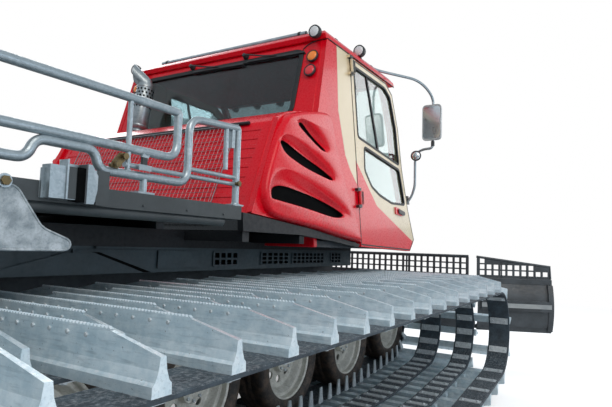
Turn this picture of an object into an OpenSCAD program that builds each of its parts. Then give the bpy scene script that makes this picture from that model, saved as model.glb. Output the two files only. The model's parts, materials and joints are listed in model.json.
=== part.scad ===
// Snow groomer on two belt tracks, real size in mm.
// +X is forward, +Y is left, +Z is up, Z = 0 is the ground under the track bars.

/* [Whole vehicle] */
// distance from the middle of the tracks back to the middle of the whole length
mid_x = 275; // [200:5:350]

/* [Running gear] */
// width over both tracks
over_w = 4200; // [3900:10:4400]
// width of one track, long bars end to end
track_w = 1500; // [1300:10:1600]
// from one wheel axle to the next
wheel_gap = 870; // [800:5:950]
// radius of the rubber tyres
tyre_r = 340; // [300:5:370]
// width of the tyres
tyre_w = 240; // [180:5:280]
// from the track's outer edge to the wheels' middle
wheel_in = 1120; // [1050:5:1160]
// height of the sprocket's shaft
sprocket_z = 575; // [540:5:620]
// radius of the belt's inner face on the sprocket
sprocket_r = 325; // [280:5:350]
// height of the front tension wheel's axle
idler_z = 560; // [520:5:600]
// thickness of the rubber belts
belt_t = 15; // [10:1:20]
// from one bar to the next along the belts
bar_pitch = 135; // [120:1:180]
// height of a bar over the belt
bar_h = 136; // [100:1:150]
// height of a bar's end plate
bar_end_h = 88; // [60:1:100]
// length of a bar's sloping end
bar_slope = 190; // [100:5:260]
// width of a bar's foot
bar_foot = 60; // [60:1:96]
// width of a bar's crest
bar_crest = 12; // [8:1:20]
// how far each end of a short bar stays inside a long one
bar_short = 300; // [250:5:330]

/* [Chassis] */
// width of the tub between the tracks
tub_w = 900; // [700:10:1000]
// underside of the tub
tub_z = 330; // [280:10:400]
// top of the tub, where the frame box starts
tub_top = 1080; // [1070:5:1100]
// rear face of the tub
tub_rear = -2280; // [-2400:10:-2200]
// front face of the tub
tub_front = 2180; // [2100:10:2250]
// width of the frame box over the tub
frame_w = 1360; // [1200:10:1500]
// top of the frame box
frame_top = 1330; // [1300:5:1360]
// plate thickness of the frame box
frame_t = 12; // [8:1:20]
// height of the openings in the frame box
vent = 90; // [50:1:100]

// radius of the hole in the towing eye
tow_r = 21; // [18:1:25]

/* [Load bed] */
// width of the load bed
bed_w = 2500; // [2300:10:2700]
// rear edge of the load bed
bed_rear = -2420; // [-2500:10:-2300]
// front edge of the load bed
bed_front = -365; // [-400:5:-300]
// top of the load bed
bed_top = 1457; // [1420:1:1480]
// height of its edge beams
bed_beam = 72; // [60:1:90]
// diameter of the rail tubes
rail_d = 38; // [25:1:45]
// bend radius of the rail tubes
rail_bend = 50; // [40:1:60]
// height of the top rail over the bed
rail_h = 400; // [350:5:450]

/* [Engine house] */
// top of the engine house
house_top = 2190; // [2100:10:2200]
// sheet thickness of the engine house
house_t = 20; // [10:1:30]
// number of louvres in the rear face
louvres = 9; // [5:1:12]
// length, width and height of the engine
engine = [480, 760, 560];

/* [Cab] */
// width of the cab over its doors
cab_w = 2300; // [2200:10:2400]
// thickness of a door or cab wall
wall_t = 46; // [40:1:60]
// top of the cab floor
floor_z = 1300; // [1290:5:1320]
// underside of the roof panel
roof_z = 2850; // [2800:5:2900]
// thickness of the roof panel
roof_t = 90; // [60:5:110]
// rear wall's outer face at its foot
cab_rear = 660; // [640:5:700]
// how far the rear wall leans forward
cab_lean = 170; // [100:5:200]
// rear edge of the doors
door_rear = 1352; // [1300:1:1400]
// angle that the cab's sides lean in
cab_tilt = 2.86; // [0:0.01:5]
// angle that the doors' rear edges lean back
door_lean = 5.44; // [0:0.01:8]
// how far the gill panels stand out of the cab's sides
gill_out = 46; // [20:1:60]
// gap round a door
door_gap = 6; // [5:1:8]
// height of the door's middle rail
door_rail_z = 2060; // [1990:5:2100]
// thickness of the glass
glass_t = 8; // [6:1:10]

/* [Blade] */
// height of the lift frame's pivot
push_z = 520; // [480:5:560]
// from the tub's front face to the lift frame's pivot
push_out = 70; // [60:5:90]
// from the pivot to the blade's turning pin
push_l = 1000; // [950:5:1050]
// half the distance between the lift frame's arms
push_y = 365; // [330:5:380]
// radius of the main pivot pins
pin_r = 40; // [30:1:45]
// width of the blade's middle part
blade_w = 2960; // [2800:10:3400]
// height of the blade's steel plate
blade_h = 590; // [520:10:700]
// height of the mesh guard over it
guard_h = 230; // [100:10:250]
// height of the cutting edge over the ground at rest
blade_z = 380; // [300:5:420]
// thickness of the blade plate
blade_t = 24; // [16:1:30]
// length of a blade wing
wing_l = 860; // [700:10:1000]
// angle that a wing stands forward at rest
wing_a = 22; // [0:1:40]

/* [Tiller] */
// height of the rear lift's pivot
lift_z = 560; // [500:5:600]
// from the tub's rear face to the rear lift's pivot
lift_out = 70; // [60:5:90]
// from the rear lift's pivot to the tiller's swing pin
lift_l = 690; // [650:5:760]
// half the distance between the rear lift's arms
lift_y = 345; // [300:5:360]
// width of the tiller
tiller_w = 4300; // [4000:10:4500]
// from the swing pin to the rotor's shaft
rotor_out = 410; // [390:5:480]
// height of the rotor's shaft
rotor_z = 330; // [300:5:360]
// radius of the rotor's tube
rotor_tube = 110; // [80:5:140]
// radius over the rotor's teeth
rotor_r = 215; // [180:5:240]
// number of teeth in one row
teeth_n = 30; // [12:1:40]
// length of the rubber finisher behind the tiller
finisher_l = 640; // [400:10:700]
// width of a folding side finisher
side_w = 420; // [300:10:500]

/* [Hidden] */
seat = 0.4;
axle_x = [-1.5, -0.5, 0.5, 1.5, 2.5] * wheel_gap;
sprocket_x = -2.5 * wheel_gap;
wheel_z = bar_h + belt_t + tyre_r + seat;
wheel_y = over_w / 2 - wheel_in;
// wheels the belt runs round, anticlockwise from the rear: x, z, radius of the belt's inner face
path = [
    [sprocket_x, sprocket_z, sprocket_r + seat],
    [axle_x[0], wheel_z, tyre_r + seat],
    [axle_x[3], wheel_z, tyre_r + seat],
    [axle_x[4], idler_z, tyre_r + seat],
];
// belts: distance of the middle from the track's outer edge, width
belts = [
    [90, 180],
    [400, 170],
    [730, 200],
    [1120, 250],
    [1410, 180],
];
clear = 0.4;
cab_y = cab_w / 2;
cab_in = cab_y - wall_t;
cab_top_x = cab_rear + cab_lean;
roof_front = 2190;
// half the width of the cab's room at the height z, and of the roof's underside
function in_y(z) = cab_y - wall_t / cos(cab_tilt) - (z - floor_z) * tan(cab_tilt);
top_y = cab_y - (roof_z - floor_z) * tan(cab_tilt);
// a door's rear edge at the height z
function rear_x(z) = door_rear - (z - floor_z) * tan(door_lean);
push_x = tub_front + push_out;
turn_x = push_x + push_l;
turn_z = push_z + 20;
beam_in = 200;
blade_x = turn_x + 200;
wing_y = blade_w / 2;
// hinge pins of the wings, at the front of the rails
wing_x = blade_x + 150;
pin_out = 35;
lift_x = tub_rear - lift_out;
swing_x = lift_x - lift_l;
rotor_x = swing_x - rotor_out;
// lift cylinders: pin on the tub and pin on the lift frame, x and z
front_a = [push_x, tub_top - 110];
front_b = [push_x + 700, push_z + 190];
rear_a = [lift_x, tub_top - 110];
rear_b = [lift_x - 520, lift_z + 230];

// ---- helpers ----

module plate_y(pts, y0, y1) {
    // side view outline (x, z) as a plate from y0 to y1
    translate([0, y1, 0])
        rotate([90, 0, 0])
            linear_extrude(y1 - y0)
                polygon(pts);
}

module both() {
    children();
    mirror([0, 1, 0]) children();
}

module shaft_y(x, z, r, y0, y1) {
    translate([x, y0, z]) rotate([-90, 0, 0]) cylinder(r = r, h = y1 - y0);
}

module tube(a, b, d) {
    v = b - a;
    translate(a)
        rotate([0, acos(v[2] / norm(v)), atan2(v[1], v[0])])
            cylinder(d = d, h = norm(v));
}

function unit(v) = v / norm(v);

module on_side() {
    // leans what is drawn on the upright side y = -cab_y in by the cab's tilt
    translate([0, -cab_y, floor_z]) rotate([-cab_tilt, 0, 0]) translate([0, cab_y, -floor_z]) children();
}

module between(g) {
    // cuts what lies between the leaning sides, g clear of their inner faces
    intersection() {
        children();
        rotate([90, 0, 90]) translate([0, 0, -500])
            linear_extrude(3500)
                polygon([[-in_y(1200) + g, 1200], [in_y(1200) - g, 1200], [in_y(3000) - g, 3000],
                    [-in_y(3000) + g, 3000]]);
    }
}

module elbow(turn, x, y, z, d, r) {
    // quarter bend in an upright plane; turn 0 is the bend at the front top, 90 the one at the rear top
    translate([x, y, z]) rotate([90, -turn, 0]) rotate_extrude(angle = 90) translate([r, 0]) circle(d = d);
}

module hoop(x0, x1, z0, z1, y, d, r) {
    // closed tube loop with round corners
    for (z = [z0, z1]) tube([x0 + r, y, z], [x1 - r, y, z], d);
    for (x = [x0, x1]) tube([x, y, z0 + r], [x, y, z1 - r], d);
    elbow(0, x1 - r, y, z1 - r, d, r);
    elbow(90, x0 + r, y, z1 - r, d, r);
    elbow(180, x0 + r, y, z0 + r, d, r);
    elbow(270, x1 - r, y, z0 + r, d, r);
}

module pipe(pts, d) {
    // tube through the corners pts, with a ball at every corner
    n = len(pts);
    for (i = [0:n - 2]) tube(pts[i], pts[i + 1], d);
    for (i = [1:n - 2]) translate(pts[i]) sphere(d = d + 6);
}

// ---- the belt's way round its wheels ----

function link_d(i) = let(a = path[i], b = path[(i + 1) % 4]) norm([b[0] - a[0], b[1] - a[1]]);
function face_a(i) = let(a = path[i], b = path[(i + 1) % 4])
    atan2(b[1] - a[1], b[0] - a[0]) - acos((a[2] - b[2]) / link_d(i));
function sweep(i) = (face_a(i) - face_a((i + 3) % 4) + 720) % 360;
function arc_l(i) = (path[i][2] + belt_t) * sweep(i) * PI / 180;
function run_l(i) = sqrt(pow(link_d(i), 2) - pow(path[i][2] - path[(i + 1) % 4][2], 2));
function gone(i) = i == 0 ? 0 : gone(i - 1) + arc_l(i - 1) + run_l(i - 1);
// place and outward angle on the belt's outer face at length s
function at(s, i = 0) =
    s > gone(i) + arc_l(i) + run_l(i) && i < 3 ? at(s, i + 1) :
    let(u = s - gone(i), r = path[i][2] + belt_t)
    u <= arc_l(i) ?
        let(w = face_a((i + 3) % 4) + u / r * 180 / PI)
        [path[i][0] + r * cos(w), path[i][1] + r * sin(w), w] :
        let(w = face_a(i), v = u - arc_l(i))
        [path[i][0] + r * cos(w) - v * sin(w), path[i][1] + r * sin(w) + v * cos(w), w];
loop_l = gone(3) + arc_l(3) + run_l(3);
bars_n = 2 * round(loop_l / bar_pitch / 2);
spots = [for (k = [0:bars_n - 1]) at((k + 0.5) * loop_l / bars_n)];
// where the flat under one bar meets the flat under the next, e outside the belt's outer face
function meet(a, b, e) =
    let(da = a[0] * cos(a[2]) + a[1] * sin(a[2]) + e, db = b[0] * cos(b[2]) + b[1] * sin(b[2]) + e,
        s = sin(b[2] - a[2]))
    [(da * sin(b[2]) - db * sin(a[2])) / s, (db * cos(a[2]) - da * cos(b[2])) / s];
function belt_line(e) = [for (k = [0:bars_n - 1])
    let(a = spots[k], b = spots[(k + 1) % bars_n])
    if (abs(sin(b[2] - a[2])) > 0.0005) meet(a, b, e)];

module bar(l, high) {
    // one aluminium crossbar: wide foot, narrow crest, sloping ends
    intersection() {
        rotate([90, 0, 0])
            linear_extrude(l, center = true)
                polygon([[-bar_foot / 2, 0], [bar_foot / 2, 0], [bar_crest / 2, high],
                    [-bar_crest / 2, high]]);
        rotate([90, 0, 90])
            linear_extrude(bar_foot + 2, center = true)
                polygon([[-l / 2, -1], [l / 2, -1], [l / 2, bar_end_h], [l / 2 - bar_slope, high + 1],
                    [bar_slope - l / 2, high + 1], [-l / 2, bar_end_h]]);
    }
}

module track() {
    // the right-hand loop: five belts with long and short bars in turn
    mid = -(over_w - track_w) / 2;
    for (b = belts)
        translate([0, b[0] + b[1] / 2 - over_w / 2, 0])
            rotate([90, 0, 0])
                linear_extrude(b[1])
                    difference() {
                        polygon(belt_line(0));
                        polygon(belt_line(-belt_t));
                    }
    for (k = [0:bars_n - 1])
        let(p = spots[k], l = k % 2 == 0 ? track_w : track_w - 2 * bar_short)
        translate([p[0] + seat * cos(p[2]), mid, p[1] + seat * sin(p[2])])
            rotate([0, 90 - p[2], 0])
                bar(l, bar_h - seat);
}

module track_right() color("#9AA3A3") track();
module track_left() color("#9AA3A3") mirror([0, 1, 0]) track();

module tyre() {
    rotate([90, 0, 0])
        rotate_extrude()
            polygon([[tyre_r - 95, -tyre_w / 2 + 20], [tyre_r - 20, -tyre_w / 2],
                [tyre_r, -tyre_w / 2 + 35],
                [tyre_r, tyre_w / 2 - 35], [tyre_r - 20, tyre_w / 2], [tyre_r - 95, tyre_w / 2 - 20]]);
}

module tyres() {
    for (i = [0:4])
        translate([axle_x[i], -wheel_y, i == 4 ? idler_z : wheel_z]) tyre();
}

module tyres_right() color("#4A4038") tyres();
module tyres_left() color("#4A4038") mirror([0, 1, 0]) tyres();

module wheel_disc() {
    // steel disc with a flat web, a rim, a hub and hand holes
    r = tyre_r - 95 - seat;
    difference() {
        rotate([90, 0, 0])
            rotate_extrude()
                polygon([[0, -55], [78, -55], [78, -8], [r - 50, -8], [r - 22, 40], [r - 14, 40],
                    [r - 14, 30 - tyre_w / 2], [r, 22 - tyre_w / 2], [r, tyre_w / 2 - 22],
                        [r - 14, tyre_w / 2 - 30],
                    [r - 14, 56], [r - 34, 56], [r - 62, 8], [78, 8], [78, 55], [0, 55]]);
        for (a = [0:45:315])
            rotate([0, a, 0]) translate([0, 0, 128]) rotate([90, 0, 0])
                cylinder(r = 24, h = 30, center = true);
    }
}

module wheel_discs() color("#C9CBC4") both() {
    for (i = [0:4])
        translate([axle_x[i], -wheel_y, i == 4 ? idler_z : wheel_z]) wheel_disc();
}

module sprockets() color("#3A3E40") both() {
    // a drum with two toothed rings that carry the belts
    for (b = [belts[2][0], belts[3][0]])
        translate([sprocket_x, b - over_w / 2, sprocket_z])
            rotate([90, 0, 0])
                difference() {
                    cylinder(r = sprocket_r - 6, h = 70, center = true);
                    for (a = [0:60:300])
                        rotate(a) translate([sprocket_r * 0.66, 0, 0])
                            cylinder(r = 50, h = 80, center = true);
                }
    shaft_y(sprocket_x, sprocket_z, 120, belts[2][0] - 40 - over_w / 2, -tub_w / 2);
}

module wheel_arms() color("#33383A") both() {
    // swing arms from the tub to the wheels' hubs
    y = -wheel_y;
    for (i = [0:4]) {
        z = i == 4 ? idler_z : wheel_z;
        x = axle_x[i];
        shaft_y(x, z, 45, y + 55 + seat, y + 150);
        shaft_y(x - 200, z + 60, 60, y + 135, -tub_w / 2);
        plate_y([[x - 250, z + 20], [x - 225, z - 5], [x + 20, z - 60], [x + 55, z - 30], [x + 55, z + 40],
            [x - 150, z + 120], [x - 240, z + 120]], y + 135, y + 170);
    }
}

// ---- chassis ----

module hull_tub() color("#2E3335") {
    // welded tub with a towing eye at its front
    difference() {
        plate_y([[tub_front - 30, 730], [tub_front + 50, 730], [tub_front + 95, 775],
            [tub_front + 95, 825],
            [tub_front + 50, 870], [tub_front - 30, 870]], -15, 15);
        shaft_y(tub_front + 50, 800, tow_r, -20, 20);
    }
    plate_y([[tub_rear, 640], [tub_rear + 220, tub_z], [tub_front - 250, tub_z], [tub_front, 640],
        [tub_front, tub_top], [tub_rear, tub_top]], -tub_w / 2, tub_w / 2);
    both() {
        // lugs for the lift frames and for the lift cylinders
        lug([push_x, push_z], tub_front - 60, -push_y + 45, 30, pin_r + clear);
        lug([lift_x, lift_z], tub_rear + 60, -lift_y + 45, 30, pin_r + clear);
        lug(front_a, tub_front - 60, -push_y + 50, 20, 0);
        lug(rear_a, tub_rear + 60, -lift_y + 50, 20, 0);
        shaft_y(front_a[0], front_a[1], 18, -push_y + 60, -push_y + 160);
        shaft_y(rear_a[0], rear_a[1], 18, -lift_y + 60, -lift_y + 160);
    }
}

module frame_box() color("#33383A") {
    // hollow box that carries load bed, engine and cab, with openings in its sides
    x0 = tub_rear - 20;
    x1 = tub_front - 60;
    xs = cab_rear - 2;
    zs = floor_z - 50;
    t = frame_t;
    // openings: rear edge and length
    holes = [[-2050, 420], [-1500, 420], [-950, 420], [-400, 370], [80, 250], [610, 370], [1040, 520],
        [1700, 190]];
    difference() {
        plate_y([[x0, tub_top], [x1, tub_top], [x1, zs], [xs, zs], [xs, frame_top], [x0, frame_top]],
            -frame_w / 2, frame_w / 2);
        plate_y([[x0 + t, tub_top + t], [x1 - t, tub_top + t], [x1 - t, zs - t], [xs - t, zs - t],
            [xs - t, frame_top - t], [x0 + t, frame_top - t]], -frame_w / 2 + t, frame_w / 2 - t);
        for (h = holes)
            translate([h[0], -frame_w / 2 - 1, tub_top + 30]) cube([h[1], frame_w + 2, vent]);
    }
    both() {
        // sill under the gill panel on its two outriggers
        plate_y([[-225, 1436], [-215, 1330], [398, 1330], [900, 1296], [1300, 1258], [1330, 1286],
            [911, 1331],
            [557, 1375], [-131, 1431]], -cab_y, -cab_y + 40);
        for (x = [-195, 420]) translate([x, -cab_y + 20, 1270]) cube([60, cab_y - 19 - frame_w / 2, 59.6]);
    }
}

module load_bed() color("#4A4F50") {
    // deck with pockets between its ribs, edge tubes and cross members on the frame box
    l = bed_front - bed_rear;
    w = 60;
    q = (l - w) / 5;
    z = bed_top - bed_beam;
    difference() {
        translate([bed_rear, -bed_w / 2, z]) cube([l, bed_w, bed_beam]);
        for (i = [0:4]) translate([bed_rear + w + i * q, -bed_w / 2 + w, z - 1])
            cube([q - w, bed_w - 2 * w, bed_beam - 7]);
    }
    for (i = [0, 3, 5]) translate([bed_rear + i * q, -frame_w / 2, frame_top])
        cube([w, frame_w, z - frame_top]);
    // floor plate inside the rails
    translate([bed_rear + 30, 70 - bed_w / 2, bed_top - 2]) cube([l - 60, bed_w - 140, 10]);
    both() {
        tube([bed_rear + 20, 34 - bed_w / 2, z - 16], [bed_front - 120, 34 - bed_w / 2, z - 16], 48);
        // skirt plate at the rear and the stake pocket before it
        plate_y([[bed_rear, z + 52], [bed_rear + 725, z + 52], [bed_rear + 790, z + 32],
            [bed_rear + 880, z - 96],
            [bed_rear + 985, z - 150], [bed_rear + 970, z - 170], [bed_rear, z - 170]],
            -bed_w / 2 - 10, -bed_w / 2 + 1);
        translate([bed_front - 1120, -bed_w / 2 - 44, z + 12]) cube([240, 50, 118]);
    }
    // lashing eyes at the rear edge
    both() difference() {
        translate([bed_rear - 70, -950, z + 20]) cube([71, 100, 20]);
        translate([bed_rear - 36, -900, z + 19]) cylinder(r = tow_r, h = 22);
    }
}

module bed_rails() color("#A9B4B8") both() {
    y = 30 - bed_w / 2;
    z0 = bed_top;
    zt = bed_top + rail_h;
    xf = bed_front;
    xr = bed_rear + 60;
    d = rail_d;
    r = rail_bend;
    // long loop at the top
    hoop(xr, xf - 425, z0 + 173, zt, y, d, r);
    // front hoop that runs on as a low rail
    tube([xf - 20, y, z0 + seat], [xf - 20, y, zt - r], d);
    elbow(0, xf - 20 - r, y, zt - r, d, r);
    tube([xf - 20 - r, y, zt], [xf - 370 + r, y, zt], d);
    elbow(90, xf - 370 + r, y, zt - r, d, r);
    pipe([[xf - 370, y, zt - r], [xf - 370, y, z0 + 120], [xf - 420, y, z0 + 78], [xf - 810, y, z0 + 75],
        [xf - 890, y, z0 + 150], [xf - 1110, y, z0 + 150], [xf - 1160, y, z0 + 75], [xr + 40, y, z0 + 75],
        [xr + 40, y, z0 + seat]], d);
    // thin posts between the two
    for (x = [xf - 735, xf - 1420]) tube([x, y, z0 + 76], [x, y, zt], d * 0.6);
}

module engine_block() color("#555A5C") {
    translate([cab_rear - engine[0] - 40, -engine[1] / 2, frame_top + seat]) cube(engine);
}

module engine_house() color("#D8122C") between(seat) {
    w = cab_in * 2;
    x1 = cab_rear - seat;
    t = house_t;
    // rear face and top seen from the side
    rear = [[-160, frame_top], [163, house_top - 130], [300, house_top - 40], [430, house_top]];
    inn = [[-160 + t, frame_top - 1], [163 + t, house_top - 138], [300 + t, house_top - 56],
        [430 + t, house_top - t]];
    difference() {
        plate_y(concat([[x1, frame_top]], [for (i = [0:3]) rear[i]], [[x1, house_top]]), -cab_y, cab_y);
        plate_y(concat([[x1 - t, frame_top - 1]], inn, [[x1 - t, house_top - t]]), t - in_y(1700),
            in_y(1700) - t);
        for (i = [0:louvres - 1])
            translate([-200, -cab_in + 120, frame_top + 110 + i * (house_top - frame_top - 270) / louvres])
                cube([440, w - 240, 36]);
    }
}

// pillar's outline beside the door, from its top to its foot: x, z
pillar = [[974, roof_z], [983, 2324], [1089, 1985], [1173, 1877], [rear_x(1765) - door_gap, 1765],
    [rear_x(1312) - door_gap, 1312]];
// gill panel: lower edge, front edge, top edge, rear edge
panel = [[-131, 1439], [557, 1383], [911, 1339], [1293, 1300], [1290, 1325], [1157, 1537],
    [994, 1773], [858, 2061],
    [817, 2222], [725, 2246], [415, 2178], [157, 2089]];
// three slots and the hollows over them
slots = [
    [[311, 2064], [464, 1999], [656, 1934], [731, 1947], [546, 2030], [400, 2098]],
    [[98, 1902], [165, 1837], [407, 1781], [769, 1738], [831, 1753], [653, 1817], [408, 1871],
        [166, 1928]],
    [[-1, 1539], [31, 1536], [401, 1510], [852, 1463], [999, 1495], [824, 1550], [535, 1604],
        [163, 1637], [31, 1609]],
];
hollows = [
    [[274, 2070], [311, 2064], [400, 2098], [546, 2030], [731, 1947], [777, 1970], [466, 2113],
        [362, 2110]],
    [[90, 1908], [98, 1902], [166, 1928], [408, 1871], [653, 1817], [831, 1753], [845, 1770], [787, 1807],
        [285, 1971], [167, 1967]],
    [[-6, 1600], [31, 1609], [163, 1637], [535, 1604], [824, 1550], [999, 1495], [1155, 1489], [281, 1743],
        [119, 1740], [10, 1675]],
];

module gill(y0, y1) {
    // pillar plate of the cab with the outer gill panel on it
    on_side() difference() {
        union() {
            plate_y(concat(pillar, [[911, 1343], [557, 1388], [-129, 1444], [159, 2084], [417, 2173],
                [650, 2205],
                [cab_rear + 4, 2205], [cab_top_x - 2, roof_z]]), y0, y1);
            plate_y(panel, y0 - gill_out, y0 + 1);
        }
        for (h = slots) plate_y(h, y0 - gill_out - 1, y1 + 1);
        for (h = hollows) plate_y(h, y0 - gill_out - 1, y0 - gill_out + 26);
    }
}

module gill_right() color("#D8122C") {
    gill(-cab_y, -cab_in);
    hinge_pin(-cab_y, hinge_z[0]);
}

module gill_left() color("#D8122C") mirror([0, 1, 0]) {
    gill(-cab_y, -cab_in);
    hinge_pin(-cab_y, hinge_z[0]);
}

module exhaust() color("#B9BCC0") {
    // leaning stack with a fat silencer and a slanted mouth
    a = [440, 640, house_top + seat];
    b = [550, 640, 2660];
    c = [580, 730, 2880];
    u = unit(b - a);
    difference() {
        union() {
            pipe([a + 12 * u, b, c], 110);
            tube(a + 60 * u, a + 420 * u, 200);
        }
        tube(b + 0.4 * (c - b), c + 0.1 * (c - b), 98);
        translate([c[0] - 200, c[1] - 100, c[2] - 40]) rotate([20, 0, 0]) cube([400, 300, 300]);
    }
    translate([a[0] + 2, a[1], a[2]]) cylinder(r = 80, h = 25);
}

// ---- cab ----

module cab_floor() color("#3B3F41") {
    w = cab_in - door_gap;
    plate_y([[cab_rear + wall_t, floor_z - 50], [2450, floor_z - 50], [2450, floor_z],
        [cab_rear + wall_t, floor_z]],
        -w, w);
}

module cab_rear_wall() color("#D8122C") between(seat) {
    x0 = cab_rear;
    t = wall_t;
    difference() {
        plate_y([[x0, floor_z - 50], [x0 + t, floor_z - 50], [x0 + t, house_top], [cab_top_x + t, roof_z],
            [cab_top_x, roof_z], [x0, house_top + 10]], -cab_y, cab_y);
        translate([x0 - 20, -870, 2240]) cube([cab_lean + 200, 1740, 545]);
    }
}

module rear_glass() color("#20262A") {
    // tinted pane with its black gasket, standing in the opening
    k = cab_lean / (roof_z - house_top);
    g = seat;
    intersection() {
        plate_y([[cab_rear + 8 + k * 38, 2228], [cab_rear + 30 + k * 38, 2228],
            [cab_top_x + 30 - k * 60, 2790],
            [cab_top_x + 8 - k * 60, 2790]], -870 + g, 870 - g);
        translate([cab_rear, -870 + g, 2240 + g]) cube([600, 1740 - 2 * g, 545 - 2 * g]);
    }
}

module cab_side(y0, y1) {
    // band between the pillar and the door
    g = seat;
    on_side() plate_y([[pillar[0][0] + g, roof_z], [pillar[1][0] + g, 2324], [pillar[2][0] + g, 1985],
        [pillar[3][0] + g, 1877 + g], [rear_x(1776) - door_gap - 8, 1776], [rear_x(1776) - door_gap, 1776],
        [rear_x(roof_z) - door_gap, roof_z]], y0, y1);
}

// lower ends of the two door hinges
hinge_z = [1610, 2700];

module on_hinge(y0, z) {
    // the door's hinge line, a little outside the side and leaning with the door's edge
    translate([rear_x(z) - 3, y0 - 18, z]) rotate([0, -door_lean, 0]) children();
}

module hinge_pin(y0, z) {
    // pin of a door hinge between its two lugs
    on_side() on_hinge(y0, z) {
        for (dz = [-24, 114]) translate([-48, -12, dz]) cube([56, 31, 20]);
        translate([0, 0, -20]) cylinder(r = 5, h = 150);
    }
}

module cab_side_right() color("#E6D8BE") {
    cab_side(-cab_y, -cab_in);
    hinge_pin(-cab_y, hinge_z[1]);
}

module cab_side_left() color("#E6D8BE") mirror([0, 1, 0]) {
    cab_side(-cab_y, -cab_in);
    hinge_pin(-cab_y, hinge_z[1]);
}

module cab_roof() color("#D8122C") {
    // roof panel with rounded edges: its side view cut by its cross section
    x0 = cab_top_x - 20;
    x1 = roof_front;
    t = roof_t;
    intersection() {
        plate_y([[x0, roof_z], [x1, roof_z], [x1 + 12, roof_z + 10], [x1, roof_z + t * 0.45],
            [x1 - 60, roof_z + t * 0.8],
            [x1 - 180, roof_z + t], [x0 + 110, roof_z + t], [x0 + 25, roof_z + t * 0.8],
                [x0 - 10, roof_z + t * 0.4]],
            -cab_y, cab_y);
        rotate([90, 0, 90]) translate([0, 0, x0 - 100])
            linear_extrude(x1 - x0 + 300)
                polygon([[-top_y, roof_z], [top_y, roof_z], [top_y - 3, roof_z + t * 0.4],
                    [top_y - 30, roof_z + t * 0.8],
                    [top_y - 110, roof_z + t], [110 - top_y, roof_z + t], [30 - top_y, roof_z + t * 0.8],
                    [3 - top_y, roof_z + t * 0.4]]);
    }
}

// door outline seen from the side: front edge from the sill up to the roof
front_edge = [[2508, 1238], [2640, 1353], [2490, 1653], [2355, 2044], [2278, roof_z - 413],
    [2144, roof_z - 91],
    [1985, roof_z - 12]];
// front of the posts and of the windscreen, from the nose up
post_edge = [[2530, 1682], [2395, 2050], [2318, roof_z - 410], [2184, roof_z - 85], [2115, roof_z]];

module cab_front() color("#D8122C") {
    // nose under the windscreen and the two windscreen posts
    between(door_gap + 1)
        plate_y([[2450, 1250], [2555, 1250], [2690, 1360], [2528, 1690], [2400, 1715], [2400, 1675],
            [2490, 1655],
            [2625, 1372], [2530, 1300], [2450, 1300]], -cab_y, cab_y);
    both() on_side() plate_y(concat(post_edge, [[2045, roof_z], [2122, roof_z - 115], [2255, roof_z - 425],
        [2330, 2045], [2480, 1680]]), -cab_in + door_gap + 3, -cab_in + door_gap + 68);
}

module windscreen() color("#8FA0A6") between((door_gap + 68.3) / cos(cab_tilt)) {
    // pane between the posts, 12 mm behind their front edges
    rim = [for (i = [0:4]) i == 0 ? [2502, 1704] : [post_edge[i][0] - 12,
        post_edge[i][1] - (i == 4 ? 1 : 0)]];
    plate_y(concat(rim, [for (i = [4:-1:0]) [rim[i][0] - glass_t, rim[i][1]]]), -cab_y, cab_y);
}

// middle rail of the door, its height at x
function rail_z(x) = door_rail_z + 94 - (x - 1357) * 0.107;
// outlines of the two door windows
upper = [[rear_x(2180) + 75, rail_z(1341) + 30], [2262, rail_z(2262) + 30], [2208, roof_z - 430],
    [2085, roof_z - 138],
    [1955, roof_z - 80], [rear_x(2770) + 75, roof_z - 80]];
lower = [[1464, rail_z(1464) - 30], [1464, 1918], [1600, 1795], [1775, 1735], [2056, 1690], [2390, 1702],
    [2297, 1950], [2264, rail_z(2264) - 30]];

module door_frame(y0, y1) {
    difference() {
        plate_y(concat([[rear_x(1265), 1265]], front_edge, [[rear_x(roof_z - 12), roof_z - 12]]), y0, y1);
        plate_y(upper, y0 - 1, y1 + 1);
        plate_y(lower, y0 - 1, y1 + 1);
        // notches that let the hinge lugs pass
        for (z = hinge_z) on_hinge(y0, z) translate([-30, 0, -34]) cube([54, 36, 178]);
    }
    // two outside hinges
    for (z = hinge_z) on_hinge(y0, z) {
        difference() {
            union() {
                cylinder(r = 12, h = 110);
                translate([0, -4, 0]) cube([64, 12, 110]);
            }
            translate([0, 0, -1]) cylinder(r = 5 + clear, h = 112);
        }
        translate([34, -4, 0]) cube([30, 24, 110]);
    }
}

module door_right() color("#E6D8BE") on_side() door_frame(-cab_y, -cab_in);
module door_left() color("#E6D8BE") mirror([0, 1, 0]) on_side() door_frame(-cab_y, -cab_in);

module door_pane(y0) {
    // the two panes, each half a millimetre inside its window
    for (w = [upper, lower])
        let(n = len(w), m = [for (a = [0, 1]) (max([for (p = w) p[a]]) + min([for (p = w) p[a]])) / 2])
        plate_y([for (p = w) [p[0] - 0.5 * sign(p[0] - m[0]), p[1] - 0.5 * sign(p[1] - m[1])]], y0,
            y0 + glass_t);
}

module door_glass_right() color("#8FA0A6") on_side() door_pane(-cab_y + 12);
module door_glass_left() color("#8FA0A6") mirror([0, 1, 0]) on_side() door_pane(-cab_y + 12);

module seats() color("#26282B") {
    for (y = [-430, 330]) translate([1180, y, floor_z + seat]) {
        translate([80, -130, 0]) cube([300, 260, 160]);
        translate([30, -240, 160]) cube([480, 480, 110]);
        translate([20, -230, 200]) rotate([0, -10, 0]) cube([100, 460, 700]);
    }
}

module console() color("#2B2E30") {
    plate_y([[2240, floor_z + seat], [2400, floor_z + seat], [2420, 1600], [2320, 1660], [2180, 1620],
        [2150, 1560]],
        -700, 700);
    translate([1500, -120, floor_z + seat]) cube([420, 140, 420]);
    translate([1800, -50, floor_z + 420]) rotate([0, -14, 0]) cylinder(r = 22, h = 200);
}

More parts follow.
